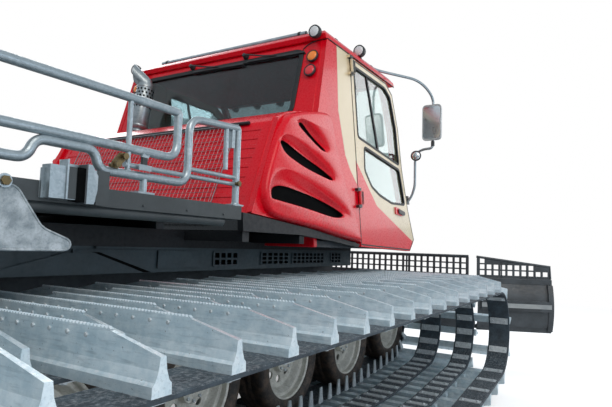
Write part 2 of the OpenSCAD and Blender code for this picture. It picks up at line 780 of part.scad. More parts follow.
module mirrors() color("#1E2123") both() {
    // upper arm along the roof's edge, lower arm on the nose, and the mirror's head
    y = -cab_y;
    yf = -top_y + 120;
    z = roof_z + roof_t;
    for (x = [1180, 1900]) tube([x, yf, z + seat], [x, yf, z + 40], 22);
    pipe([[1150, yf, z + 40], [1980, yf, z + 40], [2300, y - 150, z - 20], [2460, y - 240, 2790],
        [2460, y - 240, 2650]], 26);
    plate_y([[2663.36, 1415.18], [2689.93, 1428.22], [2663.49, 1482.08],
        [2636.92, 1469.04]], y + 68, y + 118);
    pipe([[2672, y + 94, 1450], [2686, y - 60, 1580], [2686, y - 170, 2100], [2460, y - 240, 2200],
        [2460, y - 240, 2380]], 26);
    translate([2430, y - 330, 2340]) cube([60, 190, 360]);
}

module lamps() color("#E8E4D8") both() {
    // six work lamps at the roof's front, one each side on top, two at its rear, signal lamps on the rear corners
    for (y = [-300, -620, -940])
        translate([roof_front + 12 + seat, y, roof_z + 12]) rotate([0, 90, 0]) cylinder(r = 42, h = 50);
    translate([1500, -top_y + 175, roof_z + roof_t + 46]) rotate([0, 90, 0]) cylinder(r = 40, h = 70);
    translate([1525, -top_y + 165, roof_z + roof_t + seat]) cube([20, 20, 30]);
    translate([cab_top_x - 80 - seat, -top_y + 130, roof_z + 40]) rotate([0, 90, 0])
        cylinder(r = 36, h = 50);
    k = atan(cab_lean / (roof_z - house_top - 10));
    for (z = [398, 520])
        translate([cab_rear, -975, house_top + 10]) rotate([0, k, 0])
            translate([-seat - 30, 0, z]) rotate([0, 90, 0]) cylinder(r = 42, h = 30);
}

module wipers() color("#15171A") {
    k = atan(cab_lean / (roof_z - house_top - 10));
    h = norm([cab_lean, roof_z - house_top - 10]);
    for (y = [-300, 300])
        translate([cab_rear, y, house_top + 10]) rotate([0, k, 0]) {
            translate([-seat - 18, 0, h - 60]) rotate([0, 90, 0]) cylinder(r = 20, h = 18);
            tube([-20, 0, h - 60], [-20, 330, h - 510], 14);
        }
}

module roof_rail() color("#9AA3A8") {
    // tube across the roof's rear edge on two brackets
    y = top_y - 262;
    x = cab_top_x + 110;
    tube([x, -y, roof_z + roof_t + 40], [x, y, roof_z + roof_t + 40], 40);
    both() translate([x - 15, -y + 60, roof_z + roof_t + clear]) cube([30, 12, 40]);
}

// ---- blade ----

module lug(c, x_foot, y, w, bore) {
    // bracket plate from a face at x_foot out to an eye at c (x, z)
    d = c[0] > x_foot ? 1 : -1;
    difference() {
        union() {
            plate_y([[x_foot, c[1] - 90], [x_foot + d * 60, c[1] - 90], [c[0], c[1] - 55],
                [c[0], c[1] + 55],
                [x_foot + d * 60, c[1] + 90], [x_foot, c[1] + 90]], y, y + w);
            shaft_y(c[0], c[1], 55, y, y + w);
        }
        if (bore > 0) shaft_y(c[0], c[1], bore, y - 1, y + w + 1);
    }
}

module barrel(a, b, y, l) {
    // cylinder barrel from the pin a towards the pin b, open at its far end
    w = atan2(b[1] - a[1], b[0] - a[0]);
    translate([a[0], y, a[1]])
        rotate([0, 90 - w, 0])
            difference() {
                union() {
                    rotate([90, 0, 0]) cylinder(r = 38, h = 56, center = true);
                    cylinder(r = 42, h = l);
                }
                rotate([90, 0, 0]) cylinder(r = 18 + clear, h = 200, center = true);
                translate([0, 0, 50]) cylinder(r = 24 + clear, h = l);
            }
}

module rod(a, b, y, inside) {
    // piston rod: its foot stays in the barrel, its eye is open round the pin b
    w = atan2(b[1] - a[1], b[0] - a[0]);
    l = norm(b - a);
    translate([a[0], y, a[1]])
        rotate([0, 90 - w, 0])
            difference() {
                union() {
                    translate([0, 0, inside]) cylinder(r = 24, h = l - inside);
                    translate([0, 0, l]) rotate([90, 0, 0]) cylinder(r = 44, h = 50, center = true);
                }
                translate([0, 0, l]) rotate([90, 0, 0]) cylinder(r = 28, h = 60, center = true);
            }
}

module push_frame() color("#2E3335") {
    // two arms, the pivot pin, a cross beam and the lugs of the lift cylinders
    xb = turn_x - beam_in;
    both() {
        plate_y([[push_x - 20, push_z - 50], [push_x + 40, push_z - 55], [xb + 20, turn_z - 120],
            [xb + 20, turn_z + 100], [push_x + 40, push_z + 55], [push_x - 20, push_z + 50]],
            -push_y - 35, -push_y + 35);
        shaft_y(push_x, push_z, 52, -push_y - 35, -push_y + 35);
        for (y = [-push_y + 70, -push_y + 146])
            plate_y([[front_b[0] - 60, turn_z + 40], [xb + 20, turn_z + 40], [xb + 20, turn_z + 100],
                [front_b[0] + 40, front_b[1] + 30], [front_b[0] - 30, front_b[1] + 30]], y, y + 20);
        shaft_y(front_b[0], front_b[1], 14, -push_y + 70, -push_y + 166);
    }
    difference() {
        translate([xb, -push_y - 35, turn_z - 120]) cube([70, 2 * push_y + 70, 220]);
        translate([xb - 1, 0, turn_z]) rotate([0, 90, 0]) cylinder(r = 50 + clear, h = 80);
    }
    translate([front_b[0] - 60, -push_y - 35, turn_z + 20]) cube([80, 2 * push_y + 70, 60]);
    shaft_y(push_x, push_z, pin_r, -push_y, push_y);
}

module blade_carrier() color("#2E3335") {
    // tilts on a stub in the cross beam and carries the upright turning pin
    xb = turn_x - beam_in;
    translate([xb + 2, 0, turn_z]) rotate([0, 90, 0]) cylinder(r = 50, h = 80);
    difference() {
        union() {
            translate([xb + 76, -190, turn_z - 110]) cube([30, 380, 220]);
            for (z = [turn_z - 110, turn_z + 80]) translate([xb + 80, -80, z])
                cube([turn_x - xb - 80, 160, 30]);
            for (z = [turn_z - 110, turn_z + 80]) translate([turn_x, 0, z]) cylinder(r = 80, h = 30);
        }
        translate([turn_x, 0, turn_z - 120]) cylinder(r = pin_r + clear, h = 240);
    }
}

module arc_plate(r0, r1, a, y0, y1) {
    // part of a pipe about the Y axis, from -a to a either side of +X
    translate([0, y1, 0])
        rotate([90, 0, 0])
            intersection() {
                difference() {
                    cylinder(r = r1, h = y1 - y0);
                    translate([0, 0, -1]) cylinder(r = r0, h = y1 - y0 + 2);
                }
                translate([0, 0, -1])
                    linear_extrude(y1 - y0 + 2)
                        polygon([[0, 0], [2 * r1, -2 * r1 * tan(a)], [2 * r1, 2 * r1 * tan(a)]]);
            }
}

module blade_form(y0, y1) {
    // curved mouldboard, hollow side forward, with its cutting edge, top rail and mesh guard
    r = blade_h * 0.92;
    a = asin(blade_h / 2 / r);
    zc = blade_z + blade_h / 2;
    translate([blade_x + r, 0, zc]) mirror([1, 0, 0]) arc_plate(r - blade_t, r, a, y0, y1);
    xt = blade_x + r - r * cos(a);
    translate([xt - 10, y0, blade_z + blade_h - 50]) cube([50, y1 - y0, 50]);
    translate([xt - 6, y0, blade_z]) cube([50, y1 - y0, 60]);
}

module guard(y0, y1, drop = 0) {
    // mesh guard with square holes over the blade; its top edge falls by drop towards y0
    r = blade_h * 0.92;
    xt = blade_x + r - sqrt(r * r - blade_h * blade_h / 4);
    z0 = blade_z + blade_h - 1;
    w = y1 - y0;
    n = floor((w - 40) / 75);
    m = floor((guard_h - 30) / 66);
    difference() {
        translate([xt + 5, 0, z0]) rotate([90, 0, 90])
            linear_extrude(8) polygon([[y0, 0], [y1, 0], [y1, guard_h], [y0, guard_h - drop]]);
        for (i = [0:n - 1], k = [0:m - 1])
            if (26 + k * 66 + 50 < guard_h - drop * (1 - i / n) - 8)
                translate([xt, y0 + 30 + i * (w - 40) / n, z0 + 26 + k * 66]) cube([20, 50, 50]);
    }
}

module blade_middle() color("#2A2E31") {
    blade_form(-wing_y, wing_y);
    guard(-wing_y, wing_y);
    // box beams and the eyes round the turning pin
    for (z = [blade_z + 100, blade_z + blade_h - 190]) translate([blade_x - 70, -wing_y + 40, z])
        cube([110, blade_w - 80, 110]);
    difference() {
        union() {
            translate([turn_x, 0, turn_z - 75]) cylinder(r = 76, h = 150);
            translate([turn_x + 20, -76, turn_z - 75]) cube([blade_x - turn_x, 152, 150]);
            translate([blade_x - 75, -300, turn_z - 200]) cube([70, 600, 300]);
        }
        translate([turn_x, 0, turn_z - 201]) cylinder(r = pin_r + clear, h = 402);
    }
    translate([turn_x, 0, turn_z - 125]) cylinder(r = pin_r, h = 250);
    translate([turn_x, 0, turn_z - 75]) cylinder(r = pin_r + 2, h = 150);
    both() for (z = [blade_z + 55, blade_z + blade_h - 90])
        difference() {
            union() {
                translate([blade_x + 80, -wing_y - pin_out, z]) cube([98, pin_out + 60, 35]);
                translate([wing_x, -wing_y - pin_out, z]) cylinder(r = 28, h = 35);
            }
            translate([wing_x, -wing_y - pin_out, z - 1]) cylinder(r = 14 + clear, h = 37);
        }
}

module wing() {
    // wing on two upright pins at the blade's end
    y = -wing_y - pin_out;
    translate([wing_x, y, 0])
        rotate([0, 0, wing_a])
            translate([-wing_x, -y, 0]) {
                blade_form(-wing_y - wing_l, y - 35);
                guard(-wing_y - wing_l, y - 35, 95);
                for (z = [blade_z + 10, blade_z + blade_h - 50]) {
                    translate([wing_x - 28, y - 100, z]) cube([56, 100, 40]);
                    translate([wing_x, y, z]) cylinder(r = 28, h = 40);
                }
                for (z = [blade_z + 20, blade_z + blade_h - 94])
                    translate([wing_x, y, z]) cylinder(r = 14, h = 74);
                translate([blade_x - 60, -wing_y - wing_l + 30, blade_z + 240])
                    cube([80, wing_l - 130, 110]);
            }
}

module wing_right() color("#2A2E31") wing();
module wing_left() color("#2A2E31") mirror([0, 1, 0]) wing();

module blade_barrels() color("#9AA3A8") both() barrel(front_a, front_b, -push_y + 118, 440);
module blade_rods() color("#D5D8DA") both() rod(front_a, front_b, -push_y + 118, 290);
module lift_barrels() color("#9AA3A8") both() barrel(rear_a, rear_b, -lift_y + 118, 300);
module lift_rods() color("#D5D8DA") both() rod(rear_a, rear_b, -lift_y + 118, 240);

// ---- tiller ----

module rear_lift() color("#2E3335") {
    // two arms, the pivot pin, a cross beam and the lugs of its cylinders
    xb = swing_x + 110;
    both() {
        plate_y([[lift_x + 20, lift_z - 50], [lift_x - 40, lift_z - 55], [xb - 20, lift_z - 75],
            [xb - 20, lift_z + 115], [lift_x - 40, lift_z + 55], [lift_x + 20, lift_z + 50]],
            -lift_y - 35, -lift_y + 35);
        shaft_y(lift_x, lift_z, 52, -lift_y - 35, -lift_y + 35);
        for (y = [-lift_y + 70, -lift_y + 146])
            plate_y([[rear_b[0] - 50, lift_z + 60], [rear_b[0] + 60, lift_z + 60],
                [rear_b[0] + 30, rear_b[1] + 30],
                [rear_b[0] - 30, rear_b[1] + 30]], y, y + 20);
        shaft_y(rear_b[0], rear_b[1], 14, -lift_y + 70, -lift_y + 166);
    }
    translate([xb - 20, -lift_y - 35, lift_z - 75]) cube([70, 2 * lift_y + 70, 190]);
    translate([rear_b[0] - 60, -lift_y - 35, lift_z + 10]) cube([130, 2 * lift_y + 70, 70]);
    shaft_y(lift_x, lift_z, pin_r, -lift_y, lift_y);
    difference() {
        for (z = [lift_z - 75, lift_z + 85]) {
            translate([swing_x, -80, z]) cube([110, 160, 30]);
            translate([swing_x, 0, z]) cylinder(r = 80, h = 30);
        }
        translate([swing_x, 0, lift_z - 80]) cylinder(r = pin_r + clear, h = 210);
    }
}

// pin of the side finishers
side_y = tiller_w / 2 + 32;
side_z = 240;

// housing's section round the rotor, x from its shaft and z: outside from the front foot to the rear foot
hood = [[290, 220], [300, 560], [150, 700], [-210, 700], [-370, 480], [-380, 300]];

module tiller_housing() color("#34393C") {
    pts = [for (p = hood) [rotor_x + p[0], p[1]]];
    inn = [for (i = [len(hood) - 1:-1:0])
        let(p = hood[i]) [rotor_x + p[0] * 0.95, p[1] - (i == 0 || i == 5 ? 0 : 14)]];
    plate_y(concat(pts, inn), -tiller_w / 2, tiller_w / 2);
    both() difference() {
        plate_y(concat([for (p = hood) [rotor_x + p[0], p[1]]], [[rotor_x - 300, 180],
            [rotor_x + 200, 180]]),
            -tiller_w / 2, -tiller_w / 2 + 20);
        shaft_y(rotor_x, rotor_z, pin_r + clear, -tiller_w / 2 - 1, -tiller_w / 2 + 21);
    }
    // rods that the side finishers turn on
    both() {
        translate([rotor_x - 530, -side_y, side_z]) rotate([0, 90, 0]) cylinder(r = 14, h = 400);
        translate([rotor_x - 165, -side_y - 14, side_z - 14]) cube([30, side_y - tiller_w / 2 + 30, 28]);
    }
    // bracket with the swing pin
    translate([swing_x, 0, lift_z - 40]) cylinder(r = 76, h = 120);
    translate([rotor_x + 310, -76, lift_z - 40]) cube([rotor_out - 310, 152, 120]);
    translate([rotor_x + 293, -300, 300]) cube([30, 600, 340]);
    translate([swing_x, 0, lift_z - 74]) cylinder(r = pin_r, h = 188);
}

module tiller_rotor() color("#5A5F60") {
    l = tiller_w / 2 - 30;
    shaft_y(rotor_x, rotor_z, rotor_tube, -l, l);
    shaft_y(rotor_x, rotor_z, pin_r, -tiller_w / 2 + 2, tiller_w / 2 - 2);
    for (i = [0:teeth_n - 1])
        translate([rotor_x, -l + 60 + i * (2 * l - 120) / (teeth_n - 1), rotor_z])
            rotate([0, i * 67, 0])
                translate([-12, -20, rotor_tube - 5]) cube([24, 40, rotor_r - rotor_tube + 5]);
}

// finisher's section: x from the housing's rear edge, z
mat = [[8.4, 460], [0.9, 325], [-70, 95], [-165, 24], [-640, 14], [-640, 44], [-190, 56], [-100, 130],
    [-30, 330], [-30, 460]];

module finisher() color("#1C1E20") {
    x0 = rotor_x - 380;
    plate_y([for (p = mat) [x0 + p[0] * (p[0] < -200 ? finisher_l / 640 : 1), p[1]]], -tiller_w / 2,
        tiller_w / 2);
}

module side_finisher() {
    // folding flap beside the finisher, on a rod along the machine
    l = finisher_l + 190;
    translate([rotor_x - 380 - finisher_l, -side_y, side_z])
        difference() {
            union() {
                rotate([0, 90, 0]) cylinder(r = 26, h = l);
                rotate([90, 0, 90])
                    linear_extrude(l)
                        polygon([[-24, -6], [-98, -160], [-side_w, -185], [-side_w, -215],
                            [-112, -188], [-2, -20]]);
            }
            translate([-1, 0, 0]) rotate([0, 90, 0]) cylinder(r = 14 + clear, h = l + 2);
        }
}

module side_finisher_right() color("#1C1E20") side_finisher();
module side_finisher_left() color("#1C1E20") mirror([0, 1, 0]) side_finisher();

translate([mid_x, 0, 0]) {
    hull_tub();
    frame_box();
    wheel_arms();
    sprockets();
    tyres_right();
    tyres_left();
    wheel_discs();
    track_right();
    track_left();
    load_bed();
    bed_rails();
    engine_block();
    engine_house();
    gill_right();
    gill_left();
    exhaust();
    cab_floor();
    cab_rear_wall();
    cab_side_right();
    cab_side_left();
    cab_roof();
    cab_front();
    windscreen();
    rear_glass();
    seats();
    console();
    mirrors();
    lamps();
    wipers();
    roof_rail();
    door_right();
    door_glass_right();
    door_left();
    door_glass_left();
    push_frame();
    blade_carrier();
    blade_middle();
    wing_right();
    wing_left();
    blade_barrels();
    blade_rods();
    rear_lift();
    lift_barrels();
    lift_rods();
    tiller_housing();
    tiller_rotor();
    finisher();
    side_finisher_right();
    side_finisher_left();
}
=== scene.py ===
import json
import math

import bmesh
import bpy
import mathutils
import numpy as np
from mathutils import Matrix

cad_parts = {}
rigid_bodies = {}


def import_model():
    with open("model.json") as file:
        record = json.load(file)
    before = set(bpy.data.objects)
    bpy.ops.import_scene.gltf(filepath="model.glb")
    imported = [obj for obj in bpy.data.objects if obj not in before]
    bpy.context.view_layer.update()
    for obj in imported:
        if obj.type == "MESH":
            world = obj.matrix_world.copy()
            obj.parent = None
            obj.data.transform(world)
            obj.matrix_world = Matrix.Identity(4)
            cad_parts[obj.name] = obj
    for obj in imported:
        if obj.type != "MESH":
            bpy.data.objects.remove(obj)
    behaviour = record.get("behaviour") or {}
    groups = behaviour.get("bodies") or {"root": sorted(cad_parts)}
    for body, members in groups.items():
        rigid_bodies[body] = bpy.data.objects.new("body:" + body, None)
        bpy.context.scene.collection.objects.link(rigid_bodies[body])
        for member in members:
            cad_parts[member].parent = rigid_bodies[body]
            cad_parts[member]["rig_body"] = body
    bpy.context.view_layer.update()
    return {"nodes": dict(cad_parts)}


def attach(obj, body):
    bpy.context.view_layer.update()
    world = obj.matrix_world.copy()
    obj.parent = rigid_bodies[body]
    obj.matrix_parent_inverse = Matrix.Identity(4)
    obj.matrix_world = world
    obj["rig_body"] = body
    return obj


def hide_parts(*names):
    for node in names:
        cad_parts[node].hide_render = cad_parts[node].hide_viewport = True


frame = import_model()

# Snow groomer seen from its right rear quarter. Lengths are millimetres in chassis coordinates: x from the middle
# of the tracks to the front, y to the left, z up. A part is (points n x 3, list of face arrays, finish), and
# mesh_of turns its points into the frame's metres, which start FORE of the chassis.
FORE = np.array([0.275, 0.0, 0.0])
NODES = frame["nodes"]


def metres(p):
    """Chassis millimetres to frame metres."""
    return np.asarray(p, float) * 0.001 + FORE


def unit(v):
    """Vectors scaled to length one."""
    v = np.asarray(v, float)
    return v / np.linalg.norm(v, axis=-1, keepdims=True)


# ---- finishes ----

def linear(code):
    """Hex code of a painted colour to the linear values that Blender mixes with."""
    v = np.array([int(code[i:i + 2], 16) / 255 for i in (1, 3, 5)])
    return tuple(np.where(v <= 0.04045, v / 12.92, ((v + 0.055) / 1.055) ** 2.4)) + (1.0,)


def plug(tree, node, **sockets):
    """Sets a node's sockets; one given as another node's output is linked, a hex code becomes its colour."""
    for key, v in sockets.items():
        s = node.inputs[int(key[1:]) if key[1:].isdigit() else key.replace("_", " ")]
        if isinstance(v, bpy.types.NodeSocket):
            tree.links.new(v, s)
        else:
            s.default_value = linear(v) if isinstance(v, str) else v
    return node


def add(tree, kind, props=None, **sockets):
    """New shader node with its properties and sockets."""
    node = tree.nodes.new(kind)
    for key, v in (props or {}).items():
        setattr(node, key, v)
    return plug(tree, node, **sockets)


def start(name):
    """Node material; returns it with its tree, its shader and the place on the object."""
    m = bpy.data.materials.new(name)
    m.use_nodes = True
    t = m.node_tree
    return m, t, t.nodes["Principled BSDF"], add(t, "ShaderNodeTexCoord").outputs["Object"]


def grain(t, place, size, detail=3.0, rough=0.55, stretch=None):
    """Noise whose patches are about size millimetres across; stretch divides the pattern's scale along each axis."""
    if stretch:
        place = add(t, "ShaderNodeMapping", i3=stretch, i0=place).outputs[0]
    return add(t, "ShaderNodeTexNoise", Vector=place, Scale=1000 / size, Detail=detail, Roughness=rough).outputs[0]


def ramp(t, fac, lo, hi, a=0.0, b=1.0):
    """Maps fac from lo..hi to a..b and clamps it."""
    return add(t, "ShaderNodeMapRange", Value=fac, From_Min=lo, From_Max=hi, To_Min=a, To_Max=b).outputs[0]


def blend(t, fac, a, b):
    """Mixes two colours by fac."""
    return add(t, "ShaderNodeMix", {"data_type": "RGBA"}, i0=fac, i6=a, i7=b).outputs[2]


def reckon(t, op, *values, clamp=False):
    """Math node on its values in order."""
    sockets = {"i%d" % k: v for k, v in enumerate(values)}
    return add(t, "ShaderNodeMath", {"operation": op, "use_clamp": clamp}, **sockets).outputs[0]


def times(t, a, b):
    """Product of two shares, kept between nought and one."""
    return reckon(t, "MULTIPLY", a, b, clamp=True)


def share(t, place, kind, lo, hi):
    """Nought at lo and one at hi of how far the surface looks up, or of its height in metres."""
    source = add(t, "ShaderNodeNewGeometry").outputs["Normal"] if kind == "up" else place
    return ramp(t, add(t, "ShaderNodeSeparateXYZ", Vector=source).outputs["Z"], lo, hi)


def dent(t, shader, height, depth, strength=0.6):
    """Relief of depth millimetres under the shader."""
    bump = add(t, "ShaderNodeBump", Height=height, Distance=depth * 0.001, Strength=strength)
    plug(t, shader, Normal=bump.outputs[0])


def layered(name, colour, layers, gloss, relief, **sockets):
    """Finish built up in layers. Each is (tint, noise, low, high, weight, share): as its noise rises from low to
    high the tint covers the colour, times its weight and, if given, the share by lie or height. Gloss is a noise,
    its two levels and the roughness at each; relief is a noise, a depth and a strength."""
    m, t, shader, place = start(name)
    colour = colour(t, place) if callable(colour) else colour
    for tint, noise, lo, hi, weight, *where in layers:
        if weight:
            fac = ramp(t, grain(t, place, *noise), lo, hi)
            fac = times(t, fac, share(t, place, *where)) if where else fac
            colour = blend(t, times(t, fac, weight), colour, tint)
    rough = ramp(t, grain(t, place, *gloss[0]), *gloss[1:])
    plug(t, shader, Base_Color=colour, Roughness=rough, **sockets)
    dent(t, shader, grain(t, place, *relief[0]), *relief[1:])
    return m


COAT = {"Specular_IOR_Level": 0.25, "Coat_Roughness": 0.05, "Coat_IOR": 1.38}
FLECK = (14, 5, 0.7)
PEEL = ((30, 2), 0.05, 0.2)


def gloss_paint(name, code, worn, rough=0.24, coat=0.2, dust=0.04):
    """Sprayed two-pack paint: faint clouds, orange peel under a clear coat, dust on its upper faces, grime low down."""
    layers = [(worn, (260,), 0.35, 0.7, 0.5), ("#CFCBC6", FLECK, 0.45, 0.75, dust, "up", 0.5, 1.0),
              ("#6B6460", (60, 5, 0.65), 0.45, 0.7, 0.3, "height", 1.75, 1.2)]
    return layered(name, code, layers, (FLECK, 0.3, 0.8, rough, rough + 0.1), PEEL, Coat_Weight=coat, **COAT)


def banded(m, z, code, above):
    """The same finish with another colour on one side of the height z, laid over what feeds the base colour; here the
    darker colour is painted shade under the load bed.
    """
    t = m.node_tree
    s = t.nodes["Principled BSDF"]
    height = add(t, "ShaderNodeSeparateXYZ", Vector=add(t, "ShaderNodeTexCoord").outputs["Object"]).outputs["Z"]
    over = ramp(t, height, z - 0.002, z + 0.002, *((0.0, 1.0) if above else (1.0, 0.0)))
    plug(t, s, Base_Color=blend(t, over, s.inputs["Base Color"].links[0].from_socket, code))
    return m


def dark_paint(name, code, worn, rough=0.45, chips=0.25, dust=0.35):
    """Chassis paint rolled on steel: cloudy, with fine chips of grey steel and pale dried slush on its upper faces."""
    layers = [(worn, (180,), 0.3, 0.7, 1.0), ("#8E9294", (9, 6, 0.75), 0.66, 0.7, chips),
              ("#B9BDBF", (35, 6, 0.7), 0.42, 0.68, dust, "up", 0.4, 0.95)]
    return layered(name, code, layers, ((22, 4), 0.3, 0.75, rough - 0.1, rough + 0.2), ((6, 4), 0.4, 0.4))


def bare_alloy(name, code, dull, stain, rough=0.34, metal=0.85, frost=0.0, patch=28, along=None):
    """Alloy in the weather: oxide patches, darker streaks along the profile, fine scratches, frost on upper faces."""
    layers = [(dull, (patch, 6, 0.65), 0.38, 0.66, 1.0), (stain, (9, 4, 0.6, along), 0.52, 0.78, 0.55),
              ("#F2F5F8", (16, 7, 0.75), 0.5, 0.62, frost, "up", 0.2, 0.8)]
    gloss = ((12, 5, 0.7), 0.3, 0.75, rough - 0.08, rough + 0.24)
    return layered(name, code, layers, gloss, ((2.5, 4, 0.6, along), 0.25, 0.45), Metallic=metal)


def spangled_zinc(name, code, dull):
    """Hot dip galvanised tube: zinc crystals about 9 mm across, each a little lighter or duller than the next."""
    m, t, s, p = start(name)
    cell = add(t, "ShaderNodeTexVoronoi", Vector=p, Scale=110.0).outputs["Color"]
    v = add(t, "ShaderNodeSeparateColor", Color=cell).outputs[0]
    crystals = blend(t, ramp(t, v, 0.0, 1.0), code, dull)
    c = blend(t, ramp(t, grain(t, p, 60, 5), 0.55, 0.75, 0.0, 0.5), crystals, "#D9DEE1")
    plug(t, s, Base_Color=c, Metallic=0.8, Roughness=ramp(t, v, 0.0, 1.0, 0.3, 0.48))
    dent(t, s, grain(t, p, 5, 3), 0.2, 0.3)
    return m


def rubber(name, code, worn, rough=0.7, dust=0.3, patch=40, **sockets):
    """Moulded rubber: scuffed grey patches, fine pores and powdery snow dust where it looks up."""
    layers = [(worn, (patch, 5, 0.65), 0.4, 0.68, 1.0), ("#C8CCCF", (12, 6, 0.75), 0.48, 0.7, dust, "up", 0.3, 0.9)]
    gloss = ((10, 4), 0.3, 0.7, rough - 0.12, rough + 0.15)
    return layered(name, code, layers, gloss, ((3, 5, 0.7), 0.5, 0.5), **sockets)


def moulded_plastic(name, code, rough=0.42, fine=1.6):
    """Injection moulded plastic with a fine leathery grain."""
    gloss = ((7,), 0.3, 0.7, rough - 0.06, rough + 0.1)
    return layered(name, code, [("#5A5E60", (90,), 0.3, 0.7, 0.35)], gloss, ((fine, 3), 0.15, 0.5))


def tinted_glass(name, code):
    """Toughened glass, tinted in the mass, with a thin film of dust."""
    m, t, s, p = start(name)
    film = ramp(t, grain(t, p, 120, 6, 0.7), 0.35, 0.8, 0.0, 0.16)
    plug(t, s, Base_Color=blend(t, film, code, "#AEB6B8"), Transmission_Weight=1.0, IOR=1.45,
         Roughness=ramp(t, film, 0.0, 0.16, 0.02, 0.07))
    return m


def lens(name, code, white):
    """Moulded lens: clear skin over a prismatic pattern of 5 mm."""
    m, t, s, p = start(name)
    cell = add(t, "ShaderNodeTexVoronoi", Vector=p, Scale=190.0).outputs["Distance"]
    plug(t, s, Base_Color=blend(t, ramp(t, cell, 0.1, 0.6, 0.0, white), code, "#FFFFFF"), Coat_Weight=0.25,
         Roughness=ramp(t, cell, 0.0, 0.7, 0.12, 0.27))
    dent(t, s, cell, 0.8, 0.5)
    return m


def woven(name, code, light):
    """Seat cloth: warp and weft bands of 2.4 millimetres, with a soft sheen."""
    m, t, s, p = start(name)
    scale = 1000 / 2.4 / 6.283
    bands = [add(t, "ShaderNodeTexWave", {"bands_direction": d}, Vector=p, Scale=scale).outputs["Fac"] for d in "YZ"]
    weft = reckon(t, "ADD", *bands, clamp=True)
    cloth = blend(t, ramp(t, weft, 0.3, 1.0), code, light)
    c = blend(t, ramp(t, grain(t, p, 50), 0.5, 0.8, 0.0, 0.3), cloth, "#6A6C70")
    plug(t, s, Base_Color=c, Roughness=ramp(t, weft, 0.0, 1.0, 0.75, 0.95), Sheen_Weight=0.3)
    dent(t, s, weft, 0.5, 0.5)
    return m


def red_below_painted_reflection(t, place):
    """Door colour: red below the higher of two lines that fall to the front under the lower window; cream above, a
    painted reflection of bright sky glancing off the red paint.
    """
    xyz = add(t, "ShaderNodeSeparateXYZ", Vector=place)
    lines = [reckon(t, "MULTIPLY_ADD", xyz.outputs["X"], -fall, z + fall * x)
             for fall, x, z in ((0.83, 1.699, 1.858), (0.327, 2.109, 1.585))]
    over = reckon(t, "SUBTRACT", xyz.outputs["Z"], reckon(t, "MAXIMUM", *lines))
    return blend(t, ramp(t, over, -0.001, 0.001), "#E4051F", "#E6D3B0")


RED = gloss_paint("body_red_two_pack_paint", "#E4051F", "#CF041C")
# Painted reflection: the cream of the cab sides and of the door's upper part stands in for bright sky glancing off
# their red paint.
CREAM = gloss_paint("cab_band_cream_two_pack_paint", "#E6D3B0", "#DCC7A2", 0.26, 0.25, 0.06)
# Painted shade: the engine house turns near-black below 1.44 m, where the load bed shades it.
HOUSE_RED = banded(gloss_paint("engine_house_red_over_charcoal_paint", "#E4051F", "#CF041C"), 1.44, "#14181B", False)
DOOR = layered("door_red_and_cream_two_pack_paint", red_below_painted_reflection, [("#8A7A70", (260,), 0.35, 0.7, 0.12)],
               (FLECK, 0.3, 0.8, 0.24, 0.34), PEEL, Coat_Weight=0.22, **COAT)
# Painted shadow: the charcoal frame turns near-black above 1.2235 m, in the shadow that the load bed casts.
FRAME = banded(dark_paint("frame_charcoal_paint_under_the_bed", "#2A373D", "#34434A", 0.5, 0.2, 0.3), 1.2235,
               "#0F1217", True)
CHASSIS = dark_paint("chassis_charcoal_paint_on_steel", "#1A2127", "#262F36", 0.5, 0.2, 0.3)
DECK = dark_paint("load_bed_grey_paint_on_steel", "#42484A", "#33383A", 0.42, 0.5, 0.45)
BLADE = dark_paint("blade_anthracite_paint_scoured", "#2C3033", "#4A5054", 0.4, 0.5, 0.4)
TILLER = dark_paint("tiller_hood_charcoal_paint_scoured", "#34393C", "#43494C", 0.4, 0.4, 0.35)
STRIPE = dark_paint("wing_worn_pale_band", "#A6AAA9", "#8C9192", 0.45, 0.3, 0.5)
BARREL = dark_paint("cylinder_barrel_grey_paint", "#8F979B", "#7A8286", 0.35, 0.2)
IRON = dark_paint("engine_block_cast_iron_paint", "#565B5D", "#3F4446", 0.6, 0.1)
# The cyan cast of the bar colour is a painted reflection of cool sky on the bare alloy.
BAR = bare_alloy("crossbar_extruded_aluminium_oxidised", "#CCDEE6", "#E9F4F8", "#8CA0A9", 0.33, 0.62, 0.7, 45,
                 (1, 0.12, 1))
ZINC = spangled_zinc("rail_tube_hot_dip_galvanised", "#AAB5BA", "#9CA8AE")
WIRE = bare_alloy("net_wire_dull_galvanised", "#868E92", "#9BA3A7", "#6B7276", 0.5, 0.7)
PLATE = bare_alloy("belt_plate_pressed_steel", "#B4BCC0", "#CDD3D6", "#7B8387", 0.45, 0.45, 0.5)
RIM = bare_alloy("wheel_disc_pale_painted_steel", "#BDBBB2", "#D9D7CE", "#7C6F5E", 0.5, 0.35, 0.25, 50)
STACK = bare_alloy("exhaust_brushed_stainless_tube", "#A9B0B3", "#8F989C", "#7B7F80", 0.32, 0.9, along=(1, 1, 0.2))
BRASS = bare_alloy("clamp_bolt_weathered_brass", "#867450", "#6A5D45", "#4A3F2E", 0.42, 0.8)
FROST = bare_alloy("skirt_plate_zinc_under_dried_slush", "#8E989D", "#C4CBCF", "#6E787D", 0.55, 0.4, 0.6, 50)
CHROME = bare_alloy("piston_rod_hard_chrome", "#E2E5E7", "#D2D6D9", "#B5BABD", 0.14, 1.0)
MIRROR = bare_alloy("mirror_silvered_glass", "#DDE3E6", "#E6EAEC", "#C9CFD2", 0.08, 1.0)
STEEL = bare_alloy("cutting_edge_scoured_steel", "#9DA3A6", "#B8BDC0", "#6A5F57", 0.38, 0.9, along=(1, 1, 0.3))
TYRE = rubber("wheel_tyre_solid_rubber_scuffed", "#2A2624", "#5A4A3D", 0.62, 0.2, 45)
